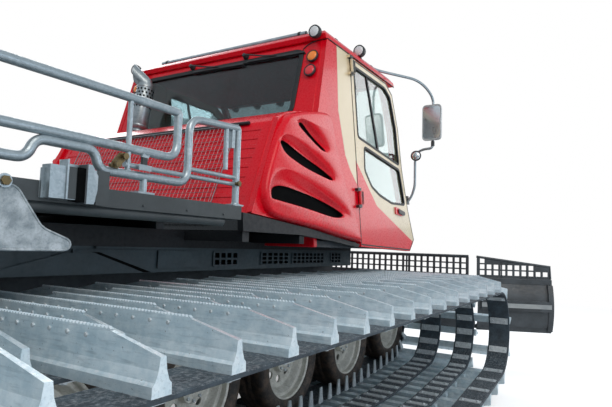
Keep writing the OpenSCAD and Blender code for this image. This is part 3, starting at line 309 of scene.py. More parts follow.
# The blue cast of the belt colour stands in for cool sky light on black rubber: painted sky light.
BELT = rubber("track_belt_fabric_reinforced_rubber", "#28323A", "#3C4A53", 0.66, 0.45, 60)
MAT = rubber("finisher_comb_rubber", "#1D1F21", "#34373A", 0.6, 0.3, 60)
SEAL = rubber("window_seal_extruded_rubber", "#121415", "#1D2022", 0.5, 0.05)
VOID = rubber("unlit_inside_of_the_housings", "#050607", "#090A0B", 0.95, 0.0, Specular_IOR_Level=0.08)
TRIM = moulded_plastic("cab_trim_moulded_black_plastic", "#1B1D1F")
SPROCKET = moulded_plastic("sprocket_ring_cast_polyurethane", "#2B2D2F", 0.5, 3.0)
SHELL = moulded_plastic("mirror_shell_pale_moulded_plastic", "#B9BDBE", 0.4)
DARK_GLASS = tinted_glass("rear_window_dark_tinted_glass", "#667A80")
CLEAR_GLASS = tinted_glass("door_window_toughened_glass", "#C7D3D2")
LAMP = lens("work_lamp_prismatic_lens", "#B9C2C4", 0.6)
AMBER = lens("indicator_amber_lens", "#FF8800", 0.04)
TAIL = lens("tail_lamp_red_lens", "#E00A1E", 0.04)
CLOTH = woven("seat_cloth_woven_charcoal", "#1F2124", "#383B40")

PAINT_OF = {
    FRAME: "frame_box", HOUSE_RED: "engine_house", DECK: "load_bed", ZINC: "bed_rails roof_rail", IRON: "engine_block",
    CHASSIS: "hull_tub wheel_arms cab_floor push_frame blade_carrier rear_lift tiller_rotor", SPROCKET: "sprockets",
    TYRE: "tyres_right tyres_left", RIM: "wheel_discs", BAR: "track_right track_left", STACK: "exhaust",
    RED: "gill_right gill_left cab_rear_wall cab_roof cab_front", DARK_GLASS: "rear_glass", CLOTH: "seats",
    CREAM: "cab_side_right cab_side_left door_right door_left", TRIM: "console mirrors wipers", LAMP: "lamps",
    CLEAR_GLASS: "windscreen door_glass_right door_glass_left", BLADE: "blade_middle wing_right wing_left",
    BARREL: "blade_barrels lift_barrels", CHROME: "blade_rods lift_rods", TILLER: "tiller_housing",
    MAT: "finisher side_finisher_right side_finisher_left"}
for finish, names in PAINT_OF.items():
    for n in names.split():
        NODES[n].data.materials.clear()
        NODES[n].data.materials.append(finish)


# ---- mesh makers ----

def new_object(name, data):
    """Object of the data, linked to the scene."""
    ob = bpy.data.objects.new(name, data)
    bpy.context.scene.collection.objects.link(ob)
    return ob


def dressed(name, me, body, replaces=(), sharp=35.0, bevel=0.0, fine=2):
    """Object of a mesh that is smooth up to the angle sharp, its edges rounded off by bevel; it rides on body."""
    if sharp:
        me.polygons.foreach_set("use_smooth", np.full(len(me.polygons), True))
        me.set_sharp_from_angle(angle=math.radians(sharp))
    me.update()
    ob = new_object(name, me)
    if bevel:
        b = ob.modifiers.new("edge", "BEVEL")
        b.width, b.segments, b.limit_method, b.angle_limit = bevel * 0.001, fine, "ANGLE", math.radians(30)
    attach(ob, body)
    if replaces:
        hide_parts(*replaces)
    return ob


def mesh_of(name, parts, body="chassis", weld=False, **more):
    """One object made of parts; weld merges points that lie together."""
    points = metres(np.concatenate([p[0] for p in parts]))
    finishes = list(dict.fromkeys(p[2] for p in parts))
    faces, which, first = [], [], 0
    for pts, groups, finish in parts:
        for g in groups:
            faces += (g + first).tolist()
            which += [finishes.index(finish)] * len(g)
        first += len(pts)
    if weld:
        _, kept, same = np.unique(np.round(points, 6), axis=0, return_index=True, return_inverse=True)
        points, same = points[kept], same.ravel()
        faces = [same[f].tolist() for f in faces]
    me = bpy.data.meshes.new(name)
    me.from_pydata(points.tolist(), [], faces)
    for f in finishes:
        me.materials.append(f)
    me.polygons.foreach_set("material_index", np.array(which, dtype=np.int32))
    return dressed(name, me, body, **more)


def weave(rows, cols, shut=False):
    """Faces between closed rings of cols points each; shut joins the last ring to the first."""
    u, v = np.arange(rows if shut else rows - 1), np.arange(cols)
    a, b = (g.ravel() for g in np.meshgrid(u, v, indexing="ij"))
    c, d = (a + 1) % rows, (b + 1) % cols
    return np.stack([a * cols + b, c * cols + b, c * cols + d, a * cols + d], 1)


def capped(rows, cols):
    """Faces of a stack of closed rings with a cap at both ends."""
    k = np.arange(cols)
    return [weave(rows, cols), k[None], (k[::-1] + (rows - 1) * cols)[None]]


def rounded(path, radius):
    """Corners to quadratic curves, each from radius before the corner to radius after it."""
    p = np.asarray(path, float)
    out = [p[:1]]
    k = np.linspace(0, 1, 9)[:, None]
    for a, b, c, r in zip(p[:-2], p[1:-1], p[2:], np.broadcast_to(radius, len(p) - 2)):
        s, e = (b + unit(q - b) * min(r, 0.49 * np.linalg.norm(q - b)) for q in (a, c))
        out.append((1 - k) ** 2 * s + 2 * k * (1 - k) * b + k ** 2 * e)
    return np.concatenate(out + [p[-1:]])


def tube(path, d, sides=14, bend=0.0, finish=None, closed=False):
    """Round tube along a path: a circle carried by frames square to it; where the path turns from along y to
    across it, each frame is the last one turned as little as possible."""
    p = rounded(path, bend) if np.any(bend) else np.asarray(path, float)
    if closed and np.allclose(p[0], p[-1]):
        p = p[:-1]
    t = unit(np.roll(p, -1, 0) - np.roll(p, 1, 0) if closed else np.gradient(p, axis=0))
    along_y = np.abs(t[:, 1]) > 0.93
    u = unit(np.cross(t, np.where(along_y[:, None], [0.0, 0.0, 1.0], [0.0, 1.0, 0.0])))
    if along_y.any() and not along_y.all():
        for i in range(1, len(t)):
            u[i] = unit(u[i - 1] - t[i] * np.dot(u[i - 1], t[i]))
    a = np.linspace(0, 2 * np.pi, sides, endpoint=False)[:, None]
    pts = p[:, None] + (np.cos(a) * u[:, None] + np.sin(a) * np.cross(t, u)[:, None]) * d / 2
    groups = [weave(len(p), sides, True)] if closed else capped(len(p), sides)
    return pts.reshape(-1, 3), [g[:, ::-1] for g in groups], finish


def turned(profile, centre=(0, 0, 0), axis="y", sides=40, finish=None):
    """Profile of (radius, place along the axis) turned round an axis through centre, open at its ends."""
    pr = np.asarray(profile, float)
    a = np.linspace(0, 2 * np.pi, sides, endpoint=False)
    c, s, h = pr[:, :1] * np.cos(a), pr[:, :1] * np.sin(a), np.repeat(pr[:, 1:], sides, 1)
    xyz = {"y": (c, h, s), "x": (h, c, s), "z": (c, -s, h)}[axis]
    f = weave(len(pr), sides)
    pts = np.stack(xyz, -1) + np.asarray(centre, float)
    return pts.reshape(-1, 3), [f if axis == "y" else f[:, ::-1]], finish


def knob(profile, centre=(0, 0, 0), axis="y", sides=40, finish=None):
    """Turned profile whose ends close on the axis."""
    ends = [[(0, p[1])] if p[0] else [] for p in (profile[0], profile[-1])]
    return turned(ends[0] + list(profile) + ends[1], centre, axis, sides, finish)


def disc(r, h, *more):
    """Cylinder of radius r and height h."""
    return knob([(r, 0), (r, h)], *more)


def bolt(r, h, *more):
    """Bolt head of radius r and height h whose crown is chamfered by three."""
    return knob([(r, 0), (r, h - 3), (r - 3, h)], *more)


def turns(line):
    """Twice the area that a closed line goes round anticlockwise."""
    return np.sum(line[:, 0] * np.roll(line[:, 1], -1) - np.roll(line[:, 0], -1) * line[:, 1])


def anticlockwise(line):
    """A closed line that runs anticlockwise, turned round if need be."""
    p = np.asarray(line, float)
    return p if turns(p) > 0 else p[::-1]


def prism(outline, y0, y1, finish=None):
    """Outline of (x, z) points drawn out along y from y0 to y1."""
    o = np.asarray(outline, float)
    o = o[::-1] if turns(o) < 0 else o
    i = np.arange(len(o))
    j, k = (i + 1) % len(o), len(o)
    pts = np.concatenate([np.insert(o, 1, y, axis=1) for y in (y0, y1)])
    return pts, [np.stack([i, j, j + k, i + k], 1), i[None], (i[::-1] + k)[None]], finish


def block(lo, hi, finish=None):
    """Plate or bar between two corners."""
    return prism([(lo[0], lo[2]), (hi[0], lo[2]), (hi[0], hi[2]), (lo[0], hi[2])], lo[1], hi[1], finish)


def mirrored(part):
    """The same part on the left side, its faces turned to keep looking out."""
    return part[0] * [1, -1, 1], [g[:, ::-1] for g in part[1]], part[2]


def both_sides(parts):
    """The right side's parts and their mirror images."""
    return parts + [mirrored(p) for p in parts]


SIDES = (("right", lambda p: p), ("left", mirrored))


def copies(part, places, axes=np.eye(3)):
    """A part set down at n places, each with its own three axes if given, as one part."""
    pts, groups, finish = part
    q = np.asarray(places, float)[:, None] + pts @ axes
    shift = (np.arange(len(q)) * len(pts))[:, None, None]
    return q.reshape(-1, 3), [(g[None] + shift).reshape(-1, g.shape[1]) for g in groups], finish


def laid(part, origin, axes, centre=(0, 0, 0)):
    """A part moved rigidly: what lies at centre goes to origin, and its x, y and z run along the three axes."""
    return np.asarray(origin, float) + (part[0] - centre) @ np.asarray(axes, float), part[1], part[2]


def spin(i, j, a):
    """Axes of a turn by the angle a from axis i towards axis j."""
    e = np.eye(3)
    e[i, i] = e[j, j] = math.cos(a)
    e[i, j], e[j, i] = math.sin(a), -math.sin(a)
    return e


def placed(at, aim, parts):
    """Parts drawn round the z axis laid on an aim."""
    e3 = unit(aim)
    e1 = unit(np.cross([0.0, 1.0, 0.0], e3))
    return [laid(p, at, (e1, np.cross(e3, e1), e3)) for p in parts]


def joined(parts):
    """Several parts of one finish as one part."""
    first = np.cumsum([0] + [len(p[0]) for p in parts])
    return np.concatenate([p[0] for p in parts]), [g + k for p, k in zip(parts, first) for g in p[1]], parts[0][2]


def outward(part):
    """Turns a closed part's faces to look out, by the sign of the volume that they close."""
    pts, groups, finish = part
    q = pts - pts.mean(0)
    volume = sum(np.sum(np.cross(q[g[:, i]], q[g[:, i + 1]]) * q[g[:, 0]])
                 for g in groups for i in range(1, g.shape[1] - 1))
    return (pts, [g[:, ::-1] for g in groups], finish) if volume < 0 else part


def solid(name, parts, *where, **more):
    """mesh_of for closed parts, each turned outwards first."""
    return mesh_of(name, [outward(p) for p in parts], *where, **more)


def eased(node, width, finish=None, fine=2):
    """A CAD node's copy with its doubles merged, its flat faces made whole and every edge rounded off by width."""
    src = NODES[node]
    bm = bmesh.new()
    bm.from_mesh(src.data)
    bmesh.ops.remove_doubles(bm, verts=bm.verts, dist=2e-5)
    bmesh.ops.dissolve_limit(bm, angle_limit=math.radians(0.7), verts=bm.verts, edges=bm.edges)
    me = bpy.data.meshes.new(node + "_eased")
    bm.to_mesh(me)
    bm.free()
    me.materials.append(finish or src.data.materials[0])
    return dressed(node + "_eased", me, src["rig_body"], [node], 30.0, width, fine)


# ---- tracks ----

BAR_H, CREST, BAR_SLOPE, BAR_END, BAR_PITCH = 136.0, 130.0, 190.0, 88.0, 135.0
BELT_T, TYRE_R, TYRE_GAP = 15.0, 340.0, 0.4
OVER_W, TRACK_W, SHORTER = 4200.0, 1500.0, 600.0
MID_Y = (TRACK_W - OVER_W) / 2
RUN_R = TYRE_R + TYRE_GAP
WHEEL_Z = BAR_H + BELT_T + RUN_R
HUB_X, HUB_Z, HUB_R, IDLER_Z = -2175, 575, 325.4, 560
# wheels that the belt runs round, from the rear: x, z and the radius of the belt's inner face
ROUND = np.array([[HUB_X, HUB_Z, HUB_R], [-1305, WHEEL_Z, RUN_R], [1305, WHEEL_Z, RUN_R], [2175, IDLER_Z, RUN_R]])
# belts from the outer one: place from the outside, width
BELTS = np.array([[90, 180], [400, 170], [730, 200], [1120, 250], [1410, 180]], float)
_next = np.roll(ROUND, -1, 0)
_link = np.hypot(*(_next - ROUND)[:, :2].T)
_fall = ROUND[:, 2] - _next[:, 2]
_face = np.degrees(np.arctan2(_next[:, 1] - ROUND[:, 1], _next[:, 0] - ROUND[:, 0]) - np.arccos(_fall / _link))
_outer = ROUND[:, 2] + BELT_T
_arc = _outer * np.radians((_face - np.roll(_face, 1) + 720) % 360)
_gone = np.concatenate([[0], np.cumsum(_arc + np.sqrt(_link ** 2 - _fall ** 2))])
LOOP = _gone[-1]
BARS = 2 * int(round(LOOP / BAR_PITCH / 2))


def on_belt(s):
    """Place and outward direction on the belt's outer face at length s: arcs round the wheels and their tangents."""
    s = np.asarray(s, float) % LOOP
    i = np.searchsorted(_gone, s, side="right") - 1
    u = s - _gone[i]
    bent = u <= _arc[i]
    w = np.radians(np.where(bent, _face[i - 1] + np.degrees(u / _outer[i]), _face[i]))
    v = np.where(bent, 0.0, u - _arc[i])
    c, k = np.cos(w), np.sin(w)
    return ROUND[i, 0] + _outer[i] * c - v * k, ROUND[i, 1] + _outer[i] * k + v * c, c, k


def set_on_belt(part, s, y=MID_Y):
    """Copies of a part, drawn with x along the belt, y across it and z outwards, at the lengths s."""
    x, z, c, k = on_belt(s)
    o = x * 0
    axes = np.stack([-k, o, c, o, o + 1, o, c, o, k], 1).reshape(-1, 3, 3)
    return copies(part, np.stack([x, o + y, z], 1), axes)


SECTION_H = np.array([0, 26, 34, 58, 92, 122, CREST])
SECTION_W = np.array([30, 29, 21, 12.5, 8, 6.5, 6.0])


def crossbar(length):
    """Bar's surface: its bottle-shaped section at places along y, cut off above by the slope that falls to each end."""
    end = length / 2 - BAR_SLOPE * np.array([0, 0.33, 0.66, 1])
    t = np.concatenate([-end, [-length / 6, length / 6], end[::-1]])
    top = np.clip(BAR_END + (CREST - BAR_END) * (length / 2 - np.abs(t)) / BAR_SLOPE, 0, CREST)
    h = np.minimum(SECTION_H[None], top[:, None])
    w = np.interp(h, SECTION_H, SECTION_W)
    x, z = np.concatenate([-w, w[:, ::-1]], 1), np.concatenate([h, h[:, ::-1]], 1)
    pts = np.stack([x, np.repeat(t[:, None], x.shape[1], 1), z], -1)
    return outward((pts.reshape(-1, 3), capped(*x.shape), BAR))


def ice_teeth(length, pitch=14.0):
    """Ridges on the crest, one a pitch: each rises from its base to a short ridge across the bar."""
    n = int((length - 2 * BAR_SLOPE + 40) / pitch)
    base, top, ridge = CREST - 1, BAR_H, pitch * 0.62
    pts = np.array([[-6, 0, base], [6, 0, base], [6, pitch, base], [-6, pitch, base], [-4.5, ridge, top],
                    [4.5, ridge, top]])
    groups = [np.array([[0, 1, 5, 4], [3, 4, 5, 2], [0, 3, 2, 1]]), np.array([[0, 4, 3], [1, 2, 5]])]
    places = np.arange(n)[:, None] * [0, pitch, 0] - [0, n / 2 * pitch, 0]
    return outward(copies((pts, groups, BAR), places))


def studs(places, r, half, axis, finish, sides=8):
    """Short round heads at the places, each a ring of sides corners with a chamfered rim at both ends."""
    head = [(r - 1.5, -half), (r, -half + 1.5), (r, half - 1.5), (r - 1.5, half)]
    pts, groups, _ = turned(head, (0, 0, 0), axis, sides)
    k = np.arange(sides)
    return outward(copies((pts, groups + [k[None], (k + 3 * sides)[None, ::-1]], finish), places))


def bolt_row(length, pitch=75, z=108):
    """Screw heads through the bar just under its crest."""
    n = int((length - 2 * BAR_SLOPE) / pitch)
    return studs([(0, (k - (n - 1) / 2) * pitch, z) for k in range(n)], 6.5, 11.0, "x", PLATE)


def belt_strip(y, width):
    """Belt: a flat section with eased edges carried round the whole loop, outer face on the wheels' outer line."""
    x, z, c, k = on_belt(np.linspace(0, LOOP, 420, endpoint=False))
    section = [[-.5, -12], [-.5, -3], [-.48, 0], [.48, 0], [.5, -3], [.5, -12], [.48, -BELT_T], [-.48, -BELT_T]]
    across, out = np.array(section).T * [[width], [1]]
    pts = np.stack([x[:, None] + out * c[:, None], np.tile(y + across, (len(x), 1)), z[:, None] + out * k[:, None]], -1)
    return outward((pts.reshape(-1, 3), [weave(len(x), len(out), True)], BELT))


def inner_plate(width):
    """Clamp plate under a belt with its two nuts."""
    plate = prism([(-27, -21), (27, -21), (27, -15.2), (-27, -15.2)], -width / 2 + 14, width / 2 - 14, PLATE)
    return joined([outward(plate), studs([(0, -0.3 * width, -24), (0, 0.3 * width, -24)], 10, 5, "z", PLATE, 6)])


spots = (np.arange(BARS) + 0.5) * LOOP / BARS
belt_y = BELTS[:, 0] - OVER_W / 2
bars = [set_on_belt(make(length), spots[k::2]) for k, length in enumerate((TRACK_W, TRACK_W - SHORTER))
        for make in (crossbar, ice_teeth, bolt_row)]
belts = [belt_strip(y, w) for y, w in zip(belt_y, BELTS[:, 1])]
# clamp plates, under the outermost belts only where a long bar crosses them
belts += [set_on_belt(inner_plate(BELTS[i, 1]), spots[::step], belt_y[i])
          for i, step in ((0, 2), (1, 1), (2, 1), (4, 2))]
# guide horns: plates that narrow to their tips, standing inwards beside the tyres
horn = outward(prism([[-30, -15], [30, -15], [13, -126], [-13, -126]], -4, 4, PLATE))
belts.append(set_on_belt(horn, spots, -1135.0))
for tag, turn in SIDES:
    mesh_of("track_bars_" + tag, [turn(p) for p in bars], replaces=["track_" + tag], sharp=0)
    mesh_of("track_belts_" + tag, [turn(p) for p in belts], sharp=0)


# ---- wheels ----

AXLES = [(-1305, WHEEL_Z), (-435, WHEEL_Z), (435, WHEEL_Z), (1305, WHEEL_Z), (2175, IDLER_Z)]


def ring(profile, centre, finish, sides=56, teeth=0, wave=0.0):
    """Closed profile of (radius, y) turned round the y axis; its outer radius waves once for every tooth."""
    pr = np.asarray(profile, float)
    a = np.linspace(0, 2 * np.pi, sides, endpoint=False)
    r = pr[:, :1] + (pr[:, :1] > pr[:, 0].mean()) * wave * np.cos(teeth * a)
    pts = np.stack([r * np.cos(a), np.repeat(pr[:, 1:], sides, 1), r * np.sin(a)], -1) + np.asarray(centre, float)
    return outward((pts.reshape(-1, 3), [weave(len(pr), sides, True)], finish))


TREAD = [(243, 96), (252, 106), (262, 110), (268, 116), (292, 119), (312, 117), (328, 108), (337, 96),
         (TYRE_R, 80), (TYRE_R, 30), (337, 26), (337, 22), (TYRE_R, 18)]
tyre = [(r, -y) for r, y in TREAD] + TREAD[::-1]
tyres = [ring(tyre, (x, -980, z), TYRE) for x, z in AXLES]
for tag, turn in SIDES:
    mesh_of("tyres_moulded_" + tag, [turn(p) for p in tyres], replaces=["tyres_" + tag], sharp=50)
eased("wheel_discs", 3.0)
eased("sprockets", 4.0)
rim = [(262, -36), (296, -36), (303, -28), (303, 28), (296, 36), (262, 36)]
cogs = [ring(rim, (HUB_X, y, HUB_Z), SPROCKET, 160, 16, 13) for y in belt_y[2:4]]
mesh_of("sprocket_tooth_rings", both_sides(cogs), sharp=40)
eighths = [(62 * math.cos(k * math.pi / 4), -1040, 62 * math.sin(k * math.pi / 4)) for k in range(8)]
nuts = [studs(np.array(eighths) + [x, 0, z], 9, 8, "y", PLATE, 6) for x, z in AXLES]
mesh_of("wheel_nuts", both_sides(nuts), sharp=0)


# ---- cab sides ----

TILT, DOOR_LEAN = math.radians(2.86), math.radians(5.44)
CAB_Y, WALL, FLOOR_Z, ROOF_Z, TOP_Y = 1150.0, 46.0, 1300.0, 2850.0, 1072.6
DOOR_REAR, HINGES = 1352, (1610, 2700)


def side(part):
    """Leans a part drawn on the upright right side in by the cab's tilt, about the line y = -1150, z = 1300."""
    foot = (0, -CAB_Y, FLOOR_Z)
    return laid(part, foot, spin(1, 2, -TILT), foot)


def rear_x(z):
    """Door's rear edge at the height z."""
    return DOOR_REAR - (z - FLOOR_Z) * math.tan(DOOR_LEAN)


def smoothed(line, rounds=3):
    """Corner cutting: every edge keeps its middle part, so the line turns softly."""
    p = np.asarray(line, float)
    for _ in range(rounds):
        q = np.roll(p, -1, 0)
        p = np.stack([0.8 * p + 0.2 * q, 0.2 * p + 0.8 * q], 1).reshape(-1, 2)
    return p


def gap_to(q, line):
    """Shortest distance from every point of q to a closed line."""
    d = np.roll(line, -1, 0) - line
    t = np.clip(((q[:, None] - line) * d).sum(-1) / (d * d).sum(-1), 0, 1)
    return np.linalg.norm(q[:, None] - line - t[..., None] * d, axis=-1).min(1)


def walk(line, left, right, n):
    """A closed line as n even points along its lower side from left to right and n along its upper side back."""
    p = anticlockwise(line)
    p = np.roll(p, -np.hypot(*(p - left).T).argmin(), 0)
    j = np.hypot(*(p - right).T).argmin()
    out = []
    for q in (p[:j + 1], np.concatenate([p[j:], p[:1]])):
        s = np.concatenate([[0], np.cumsum(np.hypot(*np.diff(q, axis=0).T))])
        t = np.linspace(0, s[-1], n, endpoint=False)
        out.append(np.stack([np.interp(t, s, q[:, k]) for k in (0, 1)], 1))
    return np.concatenate(out)


def normals(p):
    """Inward unit normals of the edges before and after every corner of an anticlockwise line."""
    d = unit(np.roll(p, -1, 0) - p)
    after = np.stack([-d[:, 1], d[:, 0]], 1)
    return np.roll(after, 1, 0), after


def inset(line, by):
    """Closed line moved inwards by a distance: every corner goes along its bisector."""
    p = anticlockwise(line)
    a, b = normals(p)
    return p + (a + b) * (by / (1 + (a * b).sum(1)))[:, None]


def fillet(line, radius):
    """Closed line whose corners become short curves that start radius before them."""
    p = anticlockwise(line)
    mid = (p[-1:] + p[:1]) / 2
    return rounded(np.concatenate([mid, p, mid]), radius)[:-1]


PANEL = [[-131, 1439], [557, 1383], [911, 1339], [1293, 1300], [1290, 1325], [1157, 1537], [994, 1773], [858, 2061],
         [817, 2222], [725, 2246], [415, 2178], [157, 2089]]
# each slot; the edge of the hollow round it, a rolled lip below and the crease that it falls from above; their tips
GILLS = [
    ([[311, 2064], [464, 1999], [656, 1934], [731, 1947], [546, 2030], [400, 2098]],
     [[298, 2054], [460, 1987], [655, 1921], [750, 1932], [777, 1970], [466, 2113], [362, 2110], [274, 2070]],
     [(330, 2084), (712, 1938), (283, 2066), (768, 1950)]),
    ([[98, 1902], [165, 1837], [407, 1781], [769, 1738], [831, 1753], [653, 1817], [408, 1871], [166, 1928]],
     [[86, 1899], [158, 1826], [404, 1768], [768, 1725], [850, 1740], [787, 1807], [285, 1971], [167, 1967],
      [84, 1920]],
     [(98, 1905), (812, 1745), (84, 1905), (848, 1748)]),
    ([[-1, 1539], [31, 1536], [401, 1510], [852, 1463], [999, 1495], [824, 1550], [535, 1604], [163, 1637], [31, 1609]],
     [[-10, 1528], [30, 1523], [400, 1497], [852, 1450], [1010, 1481], [1155, 1489], [281, 1743], [119, 1740],
      [10, 1675], [-16, 1600]],
     [(-1, 1565), (975, 1488), (-14, 1565), (1150, 1488)])]
GILL_OUT, GILL_ROUND, GILL_DEEP, LIP_DEEP = 46.0, 26, 33, 11


def skin(rings, finish):
    """Sheet through closed rings."""
    return np.concatenate(rings), [weave(len(rings), len(rings[0]))], finish


def gill_panel(n=34):
    """Gill panel as closed loops at heights over the pillar plate: a quarter round along the outline; round each
    slot a hollow whose depth follows a sine from its crease down to the slot, and a near-black pocket of painted shade;
    a flat face."""
    line = walk(smoothed(PANEL), (-125, 1440), (1290, 1310), 110)
    into = unit(sum(normals(line)))
    reach = np.zeros(len(line))
    for r in range(1, GILL_ROUND + 1):
        reach = np.where((gap_to(line + into * r, line) > 0.93 * r) & (reach > r - 1.5), r, reach)
    loops = [np.column_stack([line, np.zeros(len(line))])]
    for k in np.linspace(0, 1, 9)[1:]:
        d = reach * (1 - math.cos(k * math.pi / 2))
        h = GILL_OUT * np.sqrt(1 - (1 - np.clip(d / GILL_ROUND, 0, 1)) ** 2)
        loops.append(np.column_stack([line + into * d[:, None], h]))
    parts, face = [skin(loops, RED)], [loops[-1]]
    up = np.concatenate([np.zeros(n), np.sin(np.linspace(0, np.pi, n, endpoint=False))]) ** 0.6
    k = np.arange(n)
    floor = np.stack([k[:-1], k[1:], 2 * n - 1 - k[1:], 2 * n - 1 - k[:-1]], 1)
    for slot, hollow, tips in GILLS:
        inner, outer = walk(smoothed(slot), *tips[:2], n), walk(smoothed(hollow), *tips[2:], n)
        rings = []
        for u in np.linspace(0, 1, 11):
            fall = up * GILL_DEEP * math.sin(u * math.pi / 2) ** 1.15
            deep = fall + (1 - up) * LIP_DEEP * (1 - math.sqrt(max(0, 1 - u ** 2.4)))
            rings.append(np.column_stack([outer * (1 - u) + inner * u, GILL_OUT - deep]))
        c, h = inner.mean(0), rings[-1][:, 2]
        walls = [rings[-1]] + [np.column_stack([c + (inner - c) * (1 - 0.03 * s), h * (1 - s) + 1.5 * s])
                               for s in (0.5, 1.0)]
        parts += [skin(rings, RED), skin(walls, VOID), (walls[-1], [floor], VOID)]
        face.append(rings[0])
    flat = mathutils.geometry.tessellate_polygon([[mathutils.Vector((*q[:2], 0)) for q in loop] for loop in face])
    parts.append((np.concatenate(face), [np.array(flat)], RED))
    return [(np.column_stack([p[:, 0], -CAB_Y - p[:, 2], p[:, 1]]), f, finish) for p, f, finish in parts]


def face_out(part, direction):
    """Turns every face of an open sheet so that its normal has a positive share of direction."""
    pts, groups = part[0], []
    for g in part[1]:
        n = np.cross(pts[g[:, 1]] - pts[g[:, 0]], pts[g[:, 2]] - pts[g[:, 0]])
        groups.append(np.where((n @ np.asarray(direction, float) < 0)[:, None], g[:, ::-1], g))
    return pts, groups, part[2]


PILLAR = [[974, ROOF_Z], [983, 2324], [1089, 1985], [1173, 1877], [rear_x(1765) - 6, 1765], [rear_x(1312) - 6, 1312],
          [911, 1343], [557, 1388], [-129, 1444], [159, 2084], [417, 2173], [650, 2205], [664, 2205], [828, ROOF_Z]]


def hinges(parts):
    """Parts drawn upright at both hinges of the right door, on their leaning line."""
    return [side(laid(p, (rear_x(z) - 3, -CAB_Y - 18, z), spin(0, 2, DOOR_LEAN))) for z in HINGES for p in parts]


lugs = [prism([(-48, d), (8, d), (8, d + 20), (-48, d + 20)], -12, 19, TRIM) for d in (-24, 114)]
lugs.append(knob([(7, -30), (8, -28), (8, 138), (7, 140)], (0, 0, 0), "z", 16, PLATE))
leaves = [turned([(8.5, 0), (12, 1), (12, 109), (8.5, 110)], (0, 0, 0), "z", 20, TRIM),
          prism([(8, 0), (64, 6), (64, 104), (8, 110)], -4, 4, TRIM),
          prism([(34, 4), (64, 6), (64, 104), (34, 106)], -4, 20, TRIM)]
pillar = side(prism(PILLAR, -CAB_Y, -CAB_Y + WALL, RED))
for tag, turn in SIDES:
    out = (0, -1 if tag == "right" else 1, 0.05)
    mesh_of("gill_panel_" + tag, [face_out(turn(side(p)), out) for p in gill_panel()], sharp=50, weld=True)
    solid("rear_pillar_" + tag, [turn(pillar)], replaces=["gill_" + tag], bevel=5)
    solid("hinge_lugs_" + tag, [turn(p) for p in hinges(lugs)], bevel=1.5)
    solid("hinge_leaves_" + tag, [turn(p) for p in hinges(leaves)], "door_" + tag, bevel=1.0)
for tag, _ in SIDES:
    eased("cab_side_" + tag, 4.0)
    eased("door_" + tag, 6.0, DOOR, 3)
eased("cab_roof", 14.0, fine=3)
eased("cab_rear_wall", 7.0)
eased("cab_front", 9.0, fine=3)
eased("engine_house", 5.0)


def rail_z(x):
    """Door's middle rail at x."""
    return 2060 + 94 - (x - 1357) * 0.107


UPPER = [[rear_x(2180) + 75, rail_z(1341) + 30], [2262, rail_z(2262) + 30], [2208, ROOF_Z - 430], [2085, ROOF_Z - 138],
         [1955, ROOF_Z - 80], [rear_x(2770) + 75, ROOF_Z - 80]]
LOWER = [[1464, rail_z(1464) - 30], [1464, 1918], [1600, 1795], [1775, 1735], [2056, 1690], [2390, 1702], [2297, 1950],
         [2264, rail_z(2264) - 30]]
DOOR_EDGE = [[rear_x(1275) + 8, 1285], [2505, 1252], [2622, 1358], [2474, 1655], [2340, 2044], [2263, ROOF_Z - 413],
             [2132, ROOF_Z - 97], [1980, ROOF_Z - 24], [rear_x(ROOF_Z) + 10, ROOF_Z - 24]]


def frame_strip(line, out, inn, y0, y1, soft=30.0):
    """Flat rubber ring between a closed line moved out and in, from y0 to y1."""
    p = fillet(line, soft) if soft else anticlockwise(line)
    a, b = inset(p, -out), inset(p, inn)
    rings = [np.insert(v, 1, y, axis=1) for v, y in ((a, y0), (b, y0), (b, y1), (a, y1))]
    return np.concatenate(rings), [weave(4, len(a), True)], SEAL


def on_door(outline, y0, y1, finish):
    """Prism on the right door, from y0 to y1 inwards of its face."""
    return prism(outline, y0 - CAB_Y, y1 - CAB_Y, finish)


strips = [frame_strip(line, 16, 6, -CAB_Y - 3, -CAB_Y + 13) for line in (UPPER, LOWER)]
strips += [on_door([[1545, 2765], [1568, 2765], [1790, rail_z(1790) + 34], [1762, rail_z(1762) + 34]], 4, 24, SEAL),
           on_door([(1300, 2650), (1322, 2650), (1335, 2590), (1313, 2590)], 4, 14, TRIM),
           frame_strip(DOOR_EDGE, 7, 4, -CAB_Y - 1.5, -CAB_Y + 3, 0)]
handle = [on_door([(2120, 1652), (2230, 1642), (2300, 1612), (2286, 1578), (2130, 1590)], -12, 1, RED),
          on_door([(2180, 1636), (2330, 1618), (2340, 1598), (2322, 1584), (2190, 1600)], -24, -11, TRIM)]
for tag, turn in SIDES:
    solid("door_seals_" + tag, [turn(side(p)) for p in strips], "door_" + tag, bevel=1.0)
    solid("door_handle_" + tag, [turn(side(p)) for p in handle], "door_" + tag, bevel=3)


# ---- lamps, rear window and wipers ----

LEAN = unit([170.0, 0.0, 650.0])
BACK = np.array([-LEAN[2], 0.0, LEAN[0]])
REAR_FOOT = np.array([660.0, 0, 2200])


def on_wall(part):
    """A part drawn with x across to the left, y out from the wall and z up it, set on the cab's leaning rear wall."""
    return laid(part, REAR_FOOT, ((0, 1, 0), BACK, LEAN))


def lamp(at, aim, r, deep, glass):
    """Round lamp: a bucket with a rolled rim and a domed lens, turned round z and laid on its aim."""
    bucket = [(0.6 * r, 0), (0.92 * r, 0.12 * deep), (r, 0.5 * deep), (r, deep - 3), (r - 2, deep), (0.84 * r, deep),
              (0.82 * r, deep - 6)]
    dome = [(0.82 * r, deep - 8), (0.81 * r, deep - 3), (0.66 * r, deep + 0.06 * r), (0.4 * r, deep + 0.12 * r),
            (0.16 * r, deep + 0.14 * r), (0, deep + 0.145 * r)]
    return placed(at, aim, [knob(bucket, (0, 0, 0), "z", 36, TRIM), knob(dome, (0, 0, 0), "z", 36, glass)])


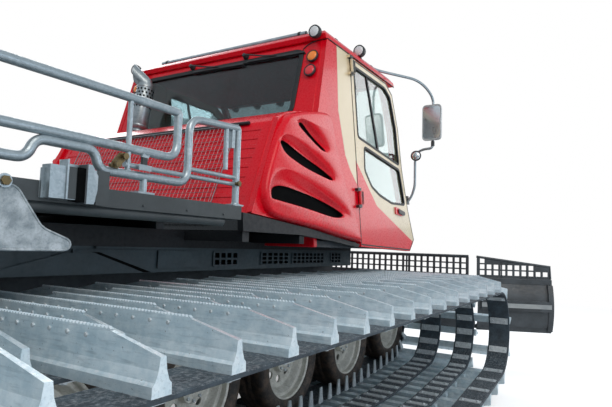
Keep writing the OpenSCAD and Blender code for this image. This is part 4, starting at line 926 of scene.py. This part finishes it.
lights = [block((1466, 16 - TOP_Y, ROOF_Z + 40), (1482, 44 - TOP_Y, ROOF_Z + 112), TRIM)]
for at, aim, r, deep, glass in (
        *(((2202, y, ROOF_Z + 12), (1, 0, 0), 42, 50, LAMP) for y in (-300, -620, -940)),
        ((1500, 30 - TOP_Y, ROOF_Z + 121), (-1, 0, 0), 52, 60, LAMP),
        ((799, 76 - TOP_Y, ROOF_Z + 44), (-1, 0, 0), 50, 50, LAMP),
        *((REAR_FOOT - [0, 975, 0] + up * LEAN, BACK, 50, 28, glass) for up, glass in ((396, TAIL), (522, AMBER)))):
    lights += lamp(at, aim, r, deep, glass)
solid("work_and_signal_lamps", both_sides(lights), replaces=["lamps"])
gasket = frame_strip([[-870, 42], [870, 42], [870, 604], [-870, 604]], 14, 24, -14, 9, 70)
solid("rear_window_gasket", [on_wall(gasket)], bevel=3)
wipes = []
for y in (-300, 300):
    arm = rounded([(y, 40, 645), (y - 50, 42, 636), (y - 190, 34, 604), (y - 330, 20, 590)], 40)
    wipes += [knob([(27, 0), (25, 10), (18, 30), (16, 44), (8, 48)], (y, 0, 645), "y", 24, TRIM),
              tube(arm, 13, 8, 0, TRIM),
              prism([(y - 590, 584), (y - 30, 596), (y - 30, 582), (y - 590, 570)], 6, 20, TRIM),
              prism([(y - 596, 572), (y - 24, 584), (y - 24, 576), (y - 596, 564)], 0.5, 8, SEAL)]
solid("rear_wipers", [on_wall(p) for p in wipes], replaces=["wipers"], bevel=1.5)


# ---- load bed, rails and engine house ----

def bed_pipes(y=-1220.0, z0=1457.0, zt=1857.0, xf=-365.0, xr=-2360.0, d=38.0):
    """Galvanised rails: a closed loop above, a low rail that rises in a hoop at the front, thin posts, ties, clamps
    and feet. z0 is the bed's top, zt the rails'; xf and xr are their front and rear ends."""
    def pipe(path, d, sides=12, bend=0.0, closed=False):
        return tube([(x, y, z) for x, z in path], d, sides, bend, ZINC, closed)

    low, high = z0 + 75, z0 + 150
    loop = [(xr, z0 + 184), (xr, zt), (xf - 460, zt), (xf - 460, z0 + 184)]
    start_at = ((xr + xf - 460) / 2, z0 + 184)
    parts = [pipe(rounded([start_at] + loop + [start_at], [60, 60, 12, 75])[:-1], d, 18, 0, True)]
    rail = [(xf - 20, z0 + 1), (xf - 20, zt + 18), (xf - 385, zt - 8), (xf - 385, z0 + 76), (xf - 873, low),
            (xf - 897, high), (xf - 1137, high), (xf - 1167, low), (xr + 40, low), (xr + 40, z0 + 1)]
    parts += [pipe(rail, d, 18, [14, 75, 75, 40, 40, 40, 40, 55]), pipe([(-480, 1864), (-476, 1640)], 25, 14),
              block((-446, y - 13, 1760), (-422, y + 13, 1864), ZINC),
              pipe([(-1118, 1571), (-384, 1572)], 22), pipe([(-737, 1606), (-384, 1607)], 22),
              block((-1060, y - 26, 1556), (-992, y - 16, 1580), ZINC),
              block((-1041, y - 24, 1580), (-1015, y - 10, 1612), TRIM),
              prism([(-1048, 1612), (-1010, 1612), (-1004, 1626), (-1020, 1622), (-1036, 1630)], y - 24, y - 12, ZINC)]
    for x, z in ((-1172, 1562), (-1138, 1599), (-398, 1574)):
        parts += [knob([(15, 0), (15, 10), (10, 12), (10, 20), (0, 22)], (x, y - 38, z), "y", 6, BRASS),
                  disc(9, 30, (x, y - 14, z), "y", 10, BRASS)]
    clamp = [(-1186, 1550), (-1160, 1546), (-1120, 1590), (-1122, 1616), (-1152, 1614), (-1186, 1574)]
    parts.append(prism(clamp, y - 15, y - 7, BRASS))
    posts = (xf - 735, xf - 1420)
    parts += [pipe([(x, z0 + 78), (x, z0 + 210), (x, zt - 4)], 23) for x in posts]
    for x in (xf - 646, xf - 1990):
        parts += [pipe([(x, z0 + 1), (x, z0 + 74)], 32),
                  block((x - 45, y - 24, z0 + 0.5), (x + 45, y + 30, z0 + 9), ZINC)]
    for x in (xf - 20, xr + 40):
        parts += [block((x - 42, y - 24, z0 + 0.5), (x + 42, y + 30, z0 + 9), ZINC),
                  knob([(24, 0), (22.5, 5), (19, 9)], (x, y, z0 + 9), "z", 18, ZINC)]
    collar = [(12, -6), (15, -3), (15, 3), (12, 6)]
    return parts + [turned(collar, (x, y, z + 14), "z", 14, ZINC) for x in posts for z in (z0 + 78, zt - 16)]


solid("bed_rail_tubes", both_sides(bed_pipes()), replaces=["bed_rails"])
bed = eased("load_bed", 4.0)
# the stake pockets' faces, which stand out of the bed's sides, are zinc
bed.data.materials.append(ZINC)
spot = np.empty(len(bed.data.polygons) * 3)
bed.data.polygons.foreach_get("center", spot)
x, y, z = (spot.reshape(-1, 3) - FORE).T
on_pocket = (abs(y) > 1.2505) & (abs(x + 1.365) < 0.13) & (z > 1.39)
bed.data.polygons.foreach_set("material_index", on_pocket.astype(np.int32))
eased("frame_box", 3.0)
# rubber joints: from the rear window's upper corner up to the roof, and along the roof's foot
joint = rounded([(-868, 2, 612), (-905, 2, 648), (-962, 2, 669), (-1068, 2, 671)], 40)
foot = rounded([(828, -1073, 2850), (840, -1075, 2850), (2186, -1075, 2850), (2196, -1068, 2850)], 6)
solid("roof_joint_seals", both_sides([on_wall(tube(joint, 9, 8, 0, SEAL)), tube(foot, 9, 8, 0, SEAL)]))
# tube across the roof's rear edge with cut ends, clamps and their feet
ends = [knob([(14, 0), (18, 3), (18, 8)], (940, 809, 2980), "y", 18, TRIM),
        prism([(922, 2941), (958, 2941), (955, 2952), (948, 2962), (932, 2962), (925, 2952)], 739, 763, TRIM),
        turned([(20.5, -11), (24, -10), (24, 10), (20.5, 11)], (940, 751, 2980), "y", 24, TRIM)]
bar = tube([(940, -811, 2980), (940, 0, 2980), (940, 811, 2980)], 40, 20, 0, ZINC)
solid("roof_rail_tube", [bar] + both_sides(ends), replaces=["roof_rail"])

HOUSE = unit([323.0, 0.0, 730.0])
HOUSE_BACK = np.array([-HOUSE[2], 0.0, HOUSE[0]])


def on_house(part):
    """A part drawn with x across to the left, y out from the face and z up it, set on the engine house's rear face."""
    return laid(part, (-160, 0, 1330), ((0, 1, 0), HOUSE_BACK, HOUSE))


def wire_net(x0, x1, z0, z1, pitch, d, depth):
    """Crimped wire net: each wire is a wave that goes over and under the ones across it, amplitude half a wire."""
    def wires(first, last, start_at, end, sign, order):
        t = np.arange(start_at, end + 1, pitch / 2)
        for k, at in enumerate(np.arange(first + pitch / 2, last, pitch)):
            wave = depth + sign * 0.5 * d * np.cos(np.pi * (t - start_at) / pitch + np.pi * k)
            yield tube(np.stack([t * 0 + at, wave, t], 1)[:, order], d, 4, 0, WIRE)
    return [*wires(x0, x1, z0, z1, 1, [0, 1, 2]), *wires(z0, z1, x0, x1, -1, [2, 1, 0])]


mesh_of("engine_house_wire_net", [on_house(p) for p in wire_net(-800, 800, 60, 770, 36, 3.0, 26)])
net_frame = [tube([(-805, 26, 52), (805, 26, 52), (805, 26, 774), (-805, 26, 774)], 9, 8, 0, WIRE, True),
             tube([(-880, 12, 792), (880, 12, 792)], 24, 10, 0, SEAL)]
net_frame += [disc(9, 26, (x, 0, z), "y", 12, WIRE) for x in (-795, 0, 795) for z in (60, 768)]
net_frame += [block((-1035, -13, 150), (1035, -5, 790), RED), disc(4, 210, (-330, 22, 775), "x", 8, SEAL)]
solid("engine_house_net_frame", [on_house(p) for p in net_frame])

# exhaust: foot and top of the silencer's axis, and the tip's end
STACK_FOOT, STACK_TOP, STACK_OUT = np.array([[520.0, 640, 2191], [592.0, 640, 2640], [537.0, 731, 2752]])
STACK_R, TIP_R, TIP_WALL = 76, 58, 2.5
STACK_AIM = STACK_TOP - STACK_FOOT


def stack():
    """Exhaust: flange and bolts on the house, round silencer with two bands, a tip that bends out and is cut upright."""
    long = np.linalg.norm(STACK_AIM)
    body = [(0, 2), (72, 2), (STACK_R, 8), (STACK_R, 14), (54, 18), (54, 30), (70, 44), (STACK_R, 52),
            (STACK_R, long + 4), (74, long + 8), (TIP_R, long + 8), (TIP_R, long), (0, long)]
    bits = [turned(body, (0, 0, 0), "z", 40, STACK)]
    bits += [turned([(STACK_R, z), (79, z + 2), (79, z + 12), (STACK_R, z + 14)], (0, 0, 0), "z", 40, STACK)
             for z in (60, long - 32)]
    bits += [disc(8, 7, (66 * math.cos(b), 66 * math.sin(b), 14), "z", 6, ZINC) for b in np.radians(range(30, 390, 60))]
    parts = placed(STACK_FOOT, STACK_AIM, bits)
    along = unit(STACK_AIM)
    path = rounded([STACK_TOP - along * 6, STACK_TOP + along * 14, STACK_OUT], 30)
    t = unit(np.gradient(path, axis=0))
    u = unit([0.0, 1, 0] - t * t[:, 1:2])
    v = np.cross(t, u)
    a = np.linspace(0, 2 * np.pi, 36, endpoint=False)[:, None]
    grown = 3 * np.linspace(0, 1, len(path))[:, None, None] ** 2
    mouth = np.array([-0.52, 0.85, 0.0])
    walls = []
    for r in (TIP_R, TIP_R - TIP_WALL):
        pts = path[:, None] + (r + grown) * (np.cos(a) * u[:, None] + np.sin(a) * v[:, None])
        pts[-1] -= np.outer((pts[-1] - STACK_OUT) @ mouth, t[-1]) / (t[-1] @ mouth)
        walls.append(pts)
    both = np.concatenate([walls[0], walls[1][::-1]])
    return parts + [(both.reshape(-1, 3), [weave(len(both), len(a), True)], STACK)]


def punched():
    """Punched holes of the heat guard as painted shade: six staggered rows of short near-black pins a hair proud of the
    silencer.
    """
    pin = disc(9.5, 1.6, (0, 0, STACK_R - 0.4), "z", 8, VOID)
    holes = []
    for row, z in enumerate(range(240, 401, 32)):
        for a in np.radians(np.arange(0, 360, 24) + 12 * (row % 2)):
            c, s = math.cos(a), math.sin(a)
            holes.append(laid(pin, (0, 0, z), ((-s, c, 0), (0, 0, 1), (c, s, 0))))
    return placed(STACK_FOOT, STACK_AIM, holes)


solid("exhaust_stack", stack() + punched(), replaces=["exhaust"], sharp=40)


def rings_at(line, rows):
    """Closed (y, z) line scaled about its middle by each row's factor and set at its x, as capped rings."""
    mid = line.mean(0)
    pts = [np.column_stack([np.full(len(line), x), mid + (line - mid) * k]) for k, x in rows]
    return np.concatenate(pts), capped(len(pts), len(line))


def mirror_set():
    """Mirror: bent arms, clamp sleeves, a pale rounded shell, its glass and a small round wide-angle glass."""
    arm = [(1150, -952, 2980), (1980, -952, 2980), (2300, -1300, 2920), (2460, -1390, 2790), (2460, -1390, 2640)]
    parts = [tube(arm, 26, 14, 110, ZINC)]
    parts += [tube([(x, -952, 2941), (x, -952, 2974)], 22, 10, 0, TRIM) for x in (1180, 1900)]
    parts += [turned([(14, -18), (19, -14), (19, 14), (14, 18)], (x, -952, 2980), "x", 18, TRIM) for x in (1180, 1900)]
    stay = [(2545, -1088, 1716), (2545, -1150, 1800), (2520, -1190, 1900), (2500, -1196, 2235), (2462, -1300, 2262),
            (2460, -1390, 2262), (2460, -1390, 2380)]
    foot = [(2500, 1716), (2590, 1716), (2582, 1740), (2560, 1800), (2530, 1800), (2508, 1740)]
    parts += [tube(stay, 26, 14, 45, ZINC), prism(foot, -1110, -1070, TRIM),
              turned([(13.5, -26), (18, -22), (18, 22), (13.5, 26)], (2460, -1390, 2310), "z", 18, TRIM)]
    line = fillet([(-1480, 2340), (-1290, 2340), (-1290, 2700), (-1480, 2700)], 42)
    shell = ((0.9, 2427), (0.985, 2424), (1.0, 2430), (1.0, 2450), (0.96, 2472), (0.84, 2487), (0.6, 2494), (0.3, 2497))
    parts += [(*rings_at(line, shell), SHELL), (*rings_at(line, ((0.9, 2425.4), (0.9, 2426.9))), MIRROR)]
    parts += lamp((2462, -1222, 2195), (-1, -0.15, 0), 52, 30, MIRROR)
    return parts + [tube([(2492, -1200, 2195), (2462, -1216, 2195)], 16, 10, 0, TRIM)]


solid("mirrors_and_arms", both_sides(mirror_set()), replaces=["mirrors"], sharp=40)


# ---- frame openings and bed fittings ----

def square_mesh(x0, x1, z0, z1, across, high, y=-689, thick=5, bar=0.28):
    """Punched sheet of across times high holes as crossing flat bars, each the share bar of its pitch wide."""
    v, h = np.linspace(x0, x1, across + 1), np.linspace(z0, z1, high + 1)
    wide, tall = bar / 2 * (v[1] - v[0]), bar / 2 * (h[1] - h[0])
    up = block((-wide, y, z0), (wide, y + thick, z1), FRAME)
    over = block((x0, y + 0.3, -tall), (x1, y + thick - 0.3, tall), FRAME)
    return [copies(up, v[:, None] * [1, 0, 0]), copies(over, h[:, None] * [0, 0, 1])]


vents = [p for x0, long, across, high in ((80, 250, 4, 2), (610, 370, 5, 3), (1040, 520, 8, 3), (1700, 190, 3, 3))
         for p in square_mesh(x0, x0 + long, 1110, 1200, across, high)]
vents += [block((x0 - 8, -691.5, 1104), (x0 + long + 8, -688, 1206), FRAME)
          for x0, long in ((-2050, 420), (-1500, 420), (-950, 420), (-400, 370))]
# The near-black strip along the raised plate's slanted edge is the painted shade of its groove.
ledge = [block((-830, -700, 1216), (1990, -690, 1223), FRAME),
         prism([(-1420, 1086), (-1008, 1186), (-848, 1189), (-540, 1086)], -704, -690.5, FRAME),
         prism([(-836, 1191), (-812, 1191), (-478, 1086), (-508, 1086)], -697, -690.5, VOID)]
solid("frame_side_plates", both_sides(ledge), bevel=3)
mesh_of("frame_vent_mesh", both_sides(vents), sharp=0)
# Painted shade: a near-black sheet along the frame's middle, seen through the vents and gaps.
solid("frame_inner_web", [block((-2250, -6, 1093), (1980, 6, 1236), VOID)])


def bed_fittings(face=-1250.5):
    """Stake pocket of folded plate with ribs and a pin, a rimmed skirt plate with its bolt, bolts along the beam."""
    # The near-black rib and the small near-black disc are painted shade inside the pocket.
    ribs = ((-1494, -1262, 1398, -1422, 1502, ZINC), (-1424, -1300, 1398, -1418, 1540, ZINC),
            (-1412, -1254, 1462, -1347, 1530, ZINC), (-1347, -1300, 1388, -1341, 1532, BLADE),
            (-1418, -1295.5, 1400, -1382, 1514, DECK), (-1382, -1296.5, 1394, -1347, 1516, VOID),
            (-1298, -1296, 1386, -1243, 1516, DECK))
    parts = [block((x0, y, z0), (x1, face, z1), finish) for x0, y, z0, x1, z1, finish in ribs]
    cheek = [(-1341, 1387), (-1310, 1388), (-1298, 1440), (-1298, 1494), (-1325, 1532), (-1341, 1532)]
    rim = fillet([(-2418, 1429), (-1580, 1429), (-1481, 1293), (-1366, 1250), (-1372, 1216), (-2418, 1216)], 26)
    parts += [prism(cheek, -1301, -1296, ZINC), disc(8, 2, (-1424, -1276, 1496), "x", 12, VOID),
              prism(rim, -1263, -1259.5, FROST),
              tube(np.insert(rim, 1, -1262, axis=1), 9, 8, 0, FROST, True),
              knob([(17, 0), (17, 8), (12, 10), (12, 16), (0, 17)], (-1622, -1280, 1440), "y", 6, BRASS),
              turned([(14, 0), (24, 0), (24, 6), (14, 6)], (-1622, -1270, 1440), "y", 24, ZINC)]
    head = [(0, 0), (6, 0), (6, -4), (5, -5), (0, -5)]
    return parts + [turned(head, (x, -1250, 1405), "y", 6, DECK) for x in range(-2330, -400, 260)]


solid("bed_fittings", both_sides(bed_fittings()), bevel=1.5)


# ---- blade ----

BLADE_X, BLADE_R, BLADE_MID = 3450.0, 590 * 0.92, 675.0
WING_X, WING_Y, WING_ANGLE = 3600.0, 1480.0, math.radians(22)
# x of the blade's back at its upper and lower edges
XT = BLADE_X + BLADE_R - math.sqrt(BLADE_R ** 2 - 295.0 ** 2)


def mould_x(z, out=0.0):
    """x of the mouldboard's back at the height z, moved out by a distance behind it."""
    return BLADE_X + BLADE_R - np.sqrt((BLADE_R + out) ** 2 - (z - BLADE_MID) ** 2)


def back_strip(y0, y1, z0, z1, out, rows):
    """Strip that follows the curved back of the mouldboard, out millimetres thick."""
    z = np.linspace(z0, z1, rows + 1)
    line = np.concatenate([np.stack([mould_x(z, out), z], 1), np.stack([mould_x(z, -0.5), z], 1)[::-1]])
    return prism(line, y0, y1, BLADE)


def wing_turn(part):
    """A part drawn on the straight blade's line, turned about the right wing's hinge by its parked angle."""
    hinge = (WING_X, -WING_Y - 32, 0)
    return laid(part, hinge, spin(0, 1, WING_ANGLE), hinge)


def blade_trim():
    """Ribs and rims on the middle blade: a tube along the guard, upright bars, the cutting edge's bolts, gussets."""
    gusset = [(BLADE_X - 66, 590), (BLADE_X - 66, 740), (BLADE_X - 2, 790), (BLADE_X - 2, 540)]
    return [tube([(XT + 9, -1478, 1198), (XT + 9, 1478, 1198)], 30, 12, 0, BLADE),
            *(block((XT - 4, y - 6, 965), (XT + 22, y + 6, 1190), BLADE) for y in (-1474, -740, 0, 740, 1474)),
            *(bolt(13, 10, (XT - 8, y, 410), "x", 6, STEEL) for y in range(-1400, 1401, 200)),
            *(prism(gusset, y - 6, y + 6, BLADE) for y in (-1200, -600, 600, 1200))]


def wing_trim():
    """Wing's back: guard tube that falls to the end, box along the top, rims, worn pale band, bolts and bars."""
    y0, y1 = -WING_Y - 860, -WING_Y - 67
    parts = [tube([(XT + 9, y1, 1196), (XT + 9, y0 + 4, 1104), (XT + 9, y0 + 4, 968)], 28, 12, 0, BLADE),
             block((XT - 40, y0, 905), (XT + 2, y1, 962), BLADE), back_strip(y0, y0 + 52, 400, 905, 34, 14),
             back_strip(y1 - 46, y1, 400, 905, 30, 14), block((3385, -2308, 652), (3390.5, -1582, 700), STRIPE),
             back_strip(y0 + 52, y1 - 46, 440, 640, 24, 8)]
    parts += [bolt(12, 10, (XT - 8, y, 410), "x", 6, STEEL) for y in np.linspace(y0 + 80, y1 - 80, 5)]
    parts += [block((XT - 3, y - 5, 965), (XT + 21, y + 5, 1170 - 90 * (y1 - y) / 790), BLADE)
              for y in (y0 + 250, y0 + 520)]
    return [wing_turn(p) for p in parts]


EDGES = dict(blade_middle=4, push_frame=5, blade_carrier=5, blade_barrels=2, blade_rods=2, rear_lift=5,
             lift_barrels=2, lift_rods=2, tiller_housing=4, hull_tub=6, wheel_arms=5, cab_floor=3, engine_block=10,
             finisher=5, side_finisher_right=4, side_finisher_left=4, tiller_rotor=3, wing_right=4, wing_left=4,
             console=14)
for node, width in EDGES.items():
    eased(node, width)
solid("blade_rims_and_bolts", blade_trim(), NODES["blade_middle"]["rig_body"], bevel=1.5)
for tag, turn in SIDES:
    solid("wing_%s_rims" % tag, [turn(p) for p in wing_trim()], NODES["wing_" + tag]["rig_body"], bevel=2)


# ---- seats and controls ----

SEATS = (-430, 330)
CUTS, PUFF_FRAMES, PUFF_CAP = 17, 12, 0.011
GROOVE_DEEP, GROOVE_WIDE = 9, 11


def puffed(ob, rest):
    """The pad's points after a short cloth simulation under inner pressure, each moved by the cap at most."""
    c = ob.modifiers.new("puff", "CLOTH")
    c.settings.use_pressure, c.settings.uniform_pressure_force = True, 3.0
    c.settings.effector_weights.gravity = 0.0
    c.settings.quality, c.settings.mass = 4, 0.4
    c.collision_settings.use_collision = False
    for f in range(1, PUFF_FRAMES + 1):
        bpy.context.scene.frame_set(f)
    got = ob.evaluated_get(bpy.context.evaluated_depsgraph_get())
    end = np.empty(rest.size)
    got.to_mesh().vertices.foreach_get("co", end)
    got.to_mesh_clear()
    ob.modifiers.clear()
    bpy.context.scene.frame_set(1)
    move = np.nan_to_num(end.reshape(-1, 3) - rest)
    long = np.linalg.norm(move, axis=1)[:, None]
    return rest + move * np.minimum(1, PUFF_CAP / np.maximum(long, 1e-9))


def pad(name, lo, hi, lean=0.0, channels=()):
    """Stuffed pad: a box rounded by the fifth-power norm whose sides pull in between its corners, puffed by a
    cloth simulation, then sewn channels pressed in as Gaussian grooves and the whole leaned about its foot."""
    bm = bmesh.new()
    bmesh.ops.create_cube(bm, size=2.0)
    bmesh.ops.subdivide_edges(bm, edges=bm.edges[:], cuts=CUTS, use_grid_fill=True)
    me = bpy.data.meshes.new(name)
    bm.to_mesh(me)
    bm.free()
    v = np.empty(len(me.vertices) * 3)
    me.vertices.foreach_get("co", v)
    v = v.reshape(-1, 3)
    lo, hi = np.array(lo, float), np.array(hi, float)
    half, mid = (hi - lo) / 2, (hi + lo) / 2
    v = v / ((np.abs(v) ** 5).sum(1) ** 0.2)[:, None]
    pull = 1 - 0.035 * (1 - v[:, [1, 2, 0]] ** 2) * (np.abs(v) > 0.6)
    rest = metres(mid + v * pull * half * 0.965)
    me.vertices.foreach_set("co", rest.ravel())
    me.polygons.foreach_set("use_smooth", np.full(len(me.polygons), True))
    me.materials.append(CLOTH)
    me.update()
    ob = new_object(name, me)
    rest = puffed(ob, rest)
    p = np.clip((rest - FORE) * 1000, lo, hi)
    other = 2 if hi[2] - lo[2] < hi[0] - lo[0] else 0
    for axis, at in channels:
        top = np.clip((p[:, other] - mid[other]) / half[other], -1, 1)
        p[:, other] -= GROOVE_DEEP * np.exp(-((p[:, axis] - at) / GROOVE_WIDE) ** 2) * top
    foot = np.array([lo[0], 0, lo[2]])
    me.vertices.foreach_set("co", metres(foot + (p - foot) @ spin(0, 2, math.radians(lean))).ravel())
    me.update()
    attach(ob, "chassis")


for k, y in enumerate(SEATS):
    tag, seams = "_%d" % (k + 1), [(1, y - 120), (1, y + 120)]
    pad("seat_cushion" + tag, (1214, y - 238, 1466), (1688, y + 238, 1572), 0, seams + [(0, 1360), (0, 1540)])
    pad("seat_back" + tag, (1204, y - 226, 1560), (1296, y + 226, 2040), 10, seams + [(2, 1760)])
    pad("seat_headrest" + tag, (1128, y - 130, 2052), (1204, y + 130, 2190), 10)


def seat_frame(y):
    """Seat's pedestal with bellows, pan, back shell, headrest stays and armrest."""
    bellows = []
    for k, z in enumerate(np.linspace(1301, 1455, 9)):
        g = 12 * (k % 2)
        x0, x1, w = 1262 + g, 1558 - g, 128 - g
        c = fillet([(x0, y - w), (x1, y - w), (x1, y + w), (x0, y + w)], 30)
        bellows.append(np.column_stack([c, np.full(len(c), z)]))
    return [(np.concatenate(bellows), capped(9, len(c)), TRIM),
            block((1212, y - 236, 1455), (1690, y + 236, 1466), TRIM),
            prism([(1196, 1470), (1204, 1468), (1118, 2060), (1108, 2060)], y - 220, y + 220, TRIM),
            *(tube([(1160, y + d, 2010), (1138, y + d, 2110)], 12, 10, 0, CHROME) for d in (-60, 60)),
            tube([(1190, y + 232, 1680), (1230, y + 236, 1690), (1480, y + 236, 1700)], 44, 12, 20, TRIM)]


def controls():
    """Steering wheel with its hub and spokes, column, display, joystick boot and levers, pedals."""
    a = np.linspace(0, 2 * np.pi, 48, endpoint=False)
    tilt = spin(0, 2, 0.6)
    hub, up = np.array([2080.0, 330, 1840]), tilt[2]

    def on_wheel(angle, r):
        return np.stack([np.cos(angle) * r, np.sin(angle) * r, angle * 0], -1) @ tilt + hub

    parts = [tube(on_wheel(a, 205), 28, 12, 0, TRIM, True)]
    for b in (0.5, 2.6, 4.71):
        tip = on_wheel(b, 200)
        parts.append(tube([tip, (tip + hub) / 2 - up * 8, hub - up * 20], 18, 8, 0, TRIM))
    boss = [(44, 0), (50, 8), (48, 26), (30, 36), (0, 38)]
    parts += placed(hub - up * 34, up, [knob(boss, (0, 0, 0), "z", 28, TRIM)])
    boot = [(60, 0), (56, 14), (46, 22), (40, 36), (32, 42), (26, 58), (18, 64), (16, 90)]
    parts += [tube([hub - up * 30, hub - up * 330], 60, 14, 0, TRIM),
              prism([(2150, 1640), (2180, 1640), (2120, 1830), (2096, 1822)], -60, 160, TRIM),
              prism([(2145, 1650), (2149, 1650), (2095, 1815), (2091, 1813)], -48, 148, DARK_GLASS),
              knob(boot, (1800, -50, 1720), "z", 24, SEAL),
              knob([(15, 0), (24, 30), (28, 70), (26, 110), (14, 130), (0, 134)], (1765, -50, 1800), "z", 20, TRIM)]
    lever = [(5, 0), (5, 60), (12, 66), (13, 80), (8, 90), (0, 92)]
    parts += [knob(lever, (x, -50, 1720), "z", 14, TRIM) for x in (1560, 1620, 1680)]
    for y in (250, 400):
        parts += [prism([(2120, 1320), (2132, 1316), (2190, 1430), (2178, 1436)], y - 45, y + 45, TRIM),
                  tube([(2185, y, 1430), (2245, y, 1480)], 16, 8, 0, TRIM)]
    return parts


solid("seat_frames_and_shells", [p for y in SEATS for p in seat_frame(y)], replaces=["seats"], bevel=3)
solid("steering_and_levers", controls())


# ---- floor, light and camera ----

def stage_floor():
    """Pale matt board that keeps the shadow; a camera ray adds what brings it to white, wholly beyond 13 metres."""
    m, t, s, p = start("studio_floor_matt_pale_board")
    far = ramp(t, add(t, "ShaderNodeVectorMath", {"operation": "LENGTH"}, i0=p).outputs["Value"], 6.0, 13.0)
    seen = add(t, "ShaderNodeLightPath").outputs["Is Camera Ray"]
    plug(t, s, Base_Color=blend(t, far, blend(t, grain(t, p, 900), "#ECECEC", "#F2F2F2"), "#000000"), Roughness=1.0,
         Specular_IOR_Level=0.0, Emission_Color="#FFFFFF",
         Emission_Strength=times(t, seen, reckon(t, "MULTIPLY_ADD", far, 0.55, 0.45)))
    r, z = 90.0, -0.002
    me = bpy.data.meshes.new("floor")
    me.from_pydata([(-r, -r, z), (r, -r, z), (r, r, z), (-r, r, z)], [], [(0, 1, 2, 3)])
    me.materials.append(m)
    new_object("floor", me)


def sky():
    """White where the camera or a glass sees it, softer where a gloss sees it, softest where it lights the object."""
    w = bpy.data.worlds.new("soft_daylight")
    bpy.context.scene.world = w
    w.use_nodes = True
    t = w.node_tree
    t.nodes.clear()
    ray = add(t, "ShaderNodeLightPath").outputs
    seen = reckon(t, "MAXIMUM", ray["Is Camera Ray"], ray["Is Transmission Ray"], clamp=True)
    light, gloss, shown = (add(t, "ShaderNodeBackground", Color=code, Strength=strength).outputs[0]
                           for code, strength in (("#DCE9F5", 0.62), ("#DFEAF3", 0.75), ("#FFFFFF", 1.0)))
    both = add(t, "ShaderNodeMixShader", i0=ray["Is Glossy Ray"], i1=light, i2=gloss).outputs[0]
    mix = add(t, "ShaderNodeMixShader", i0=seen, i1=both, i2=shown).outputs[0]
    add(t, "ShaderNodeOutputWorld", Surface=mix)


def stood(ob, x, y, z, at):
    """Sets an object down at a place with its three axes."""
    ob.matrix_world = mathutils.Matrix([[x[i], y[i], z[i], at[i]] for i in range(3)] + [[0, 0, 0, 1]])
    return ob


def soft_box(name, place, aim, size, watts, code="#FFFFFF"):
    """Square area lamp at place that looks at aim."""
    d = bpy.data.lights.new(name, "AREA")
    d.shape, d.size, d.energy, d.color = "SQUARE", size, watts, linear(code)[:3]
    z = unit(np.subtract(place, aim))
    x = unit(np.cross([0, 0, 1.0], z))
    stood(new_object(name, d), x, np.cross(z, x), z, place)


def camera():
    """Pinhole fitted to the photograph: view 31.2 degrees to the left of the vehicle's front, 4.66 up, rolled 1.77."""
    yaw, pitch, roll = np.radians([31.2, 4.66, 1.77])
    fwd = np.array([np.cos(yaw) * np.cos(pitch), np.sin(yaw) * np.cos(pitch), np.sin(pitch)])
    right = np.array([np.sin(yaw), -np.cos(yaw), 0.0])
    up = np.cross(right, fwd)
    d = bpy.data.cameras.new("view")
    film, focal, wide = 36.0, 520, 612  # film width; focal length and picture width in pixels
    d.sensor_width, d.lens = film, focal * film / wide
    d.clip_start, d.clip_end = 0.05, 300
    at = np.array([-2.549, -2.972, 1.258]) + FORE
    x, y = np.cos(roll) * right + np.sin(roll) * up, np.cos(roll) * up - np.sin(roll) * right
    bpy.context.scene.camera = stood(new_object("view", d), x, y, -fwd, at)


stage_floor()
sky()
soft_box("key", (-5.0, -6.5, 8.0), (0.3, -0.5, 1.0), 6.0, 400, "#FFF6EC")
soft_box("rim", (5.0, 6.5, 6.5), (0.3, 0.0, 1.2), 5.0, 300)
soft_box("front", (9.0, -5.0, 4.0), (0.5, 0.0, 1.0), 4.0, 120)
soft_box("low", (0.5, -8.0, 1.6), (0.8, -1.4, 0.5), 4.0, 90, "#DCE9F8")
camera()
bpy.context.scene.view_settings.view_transform = "Standard"
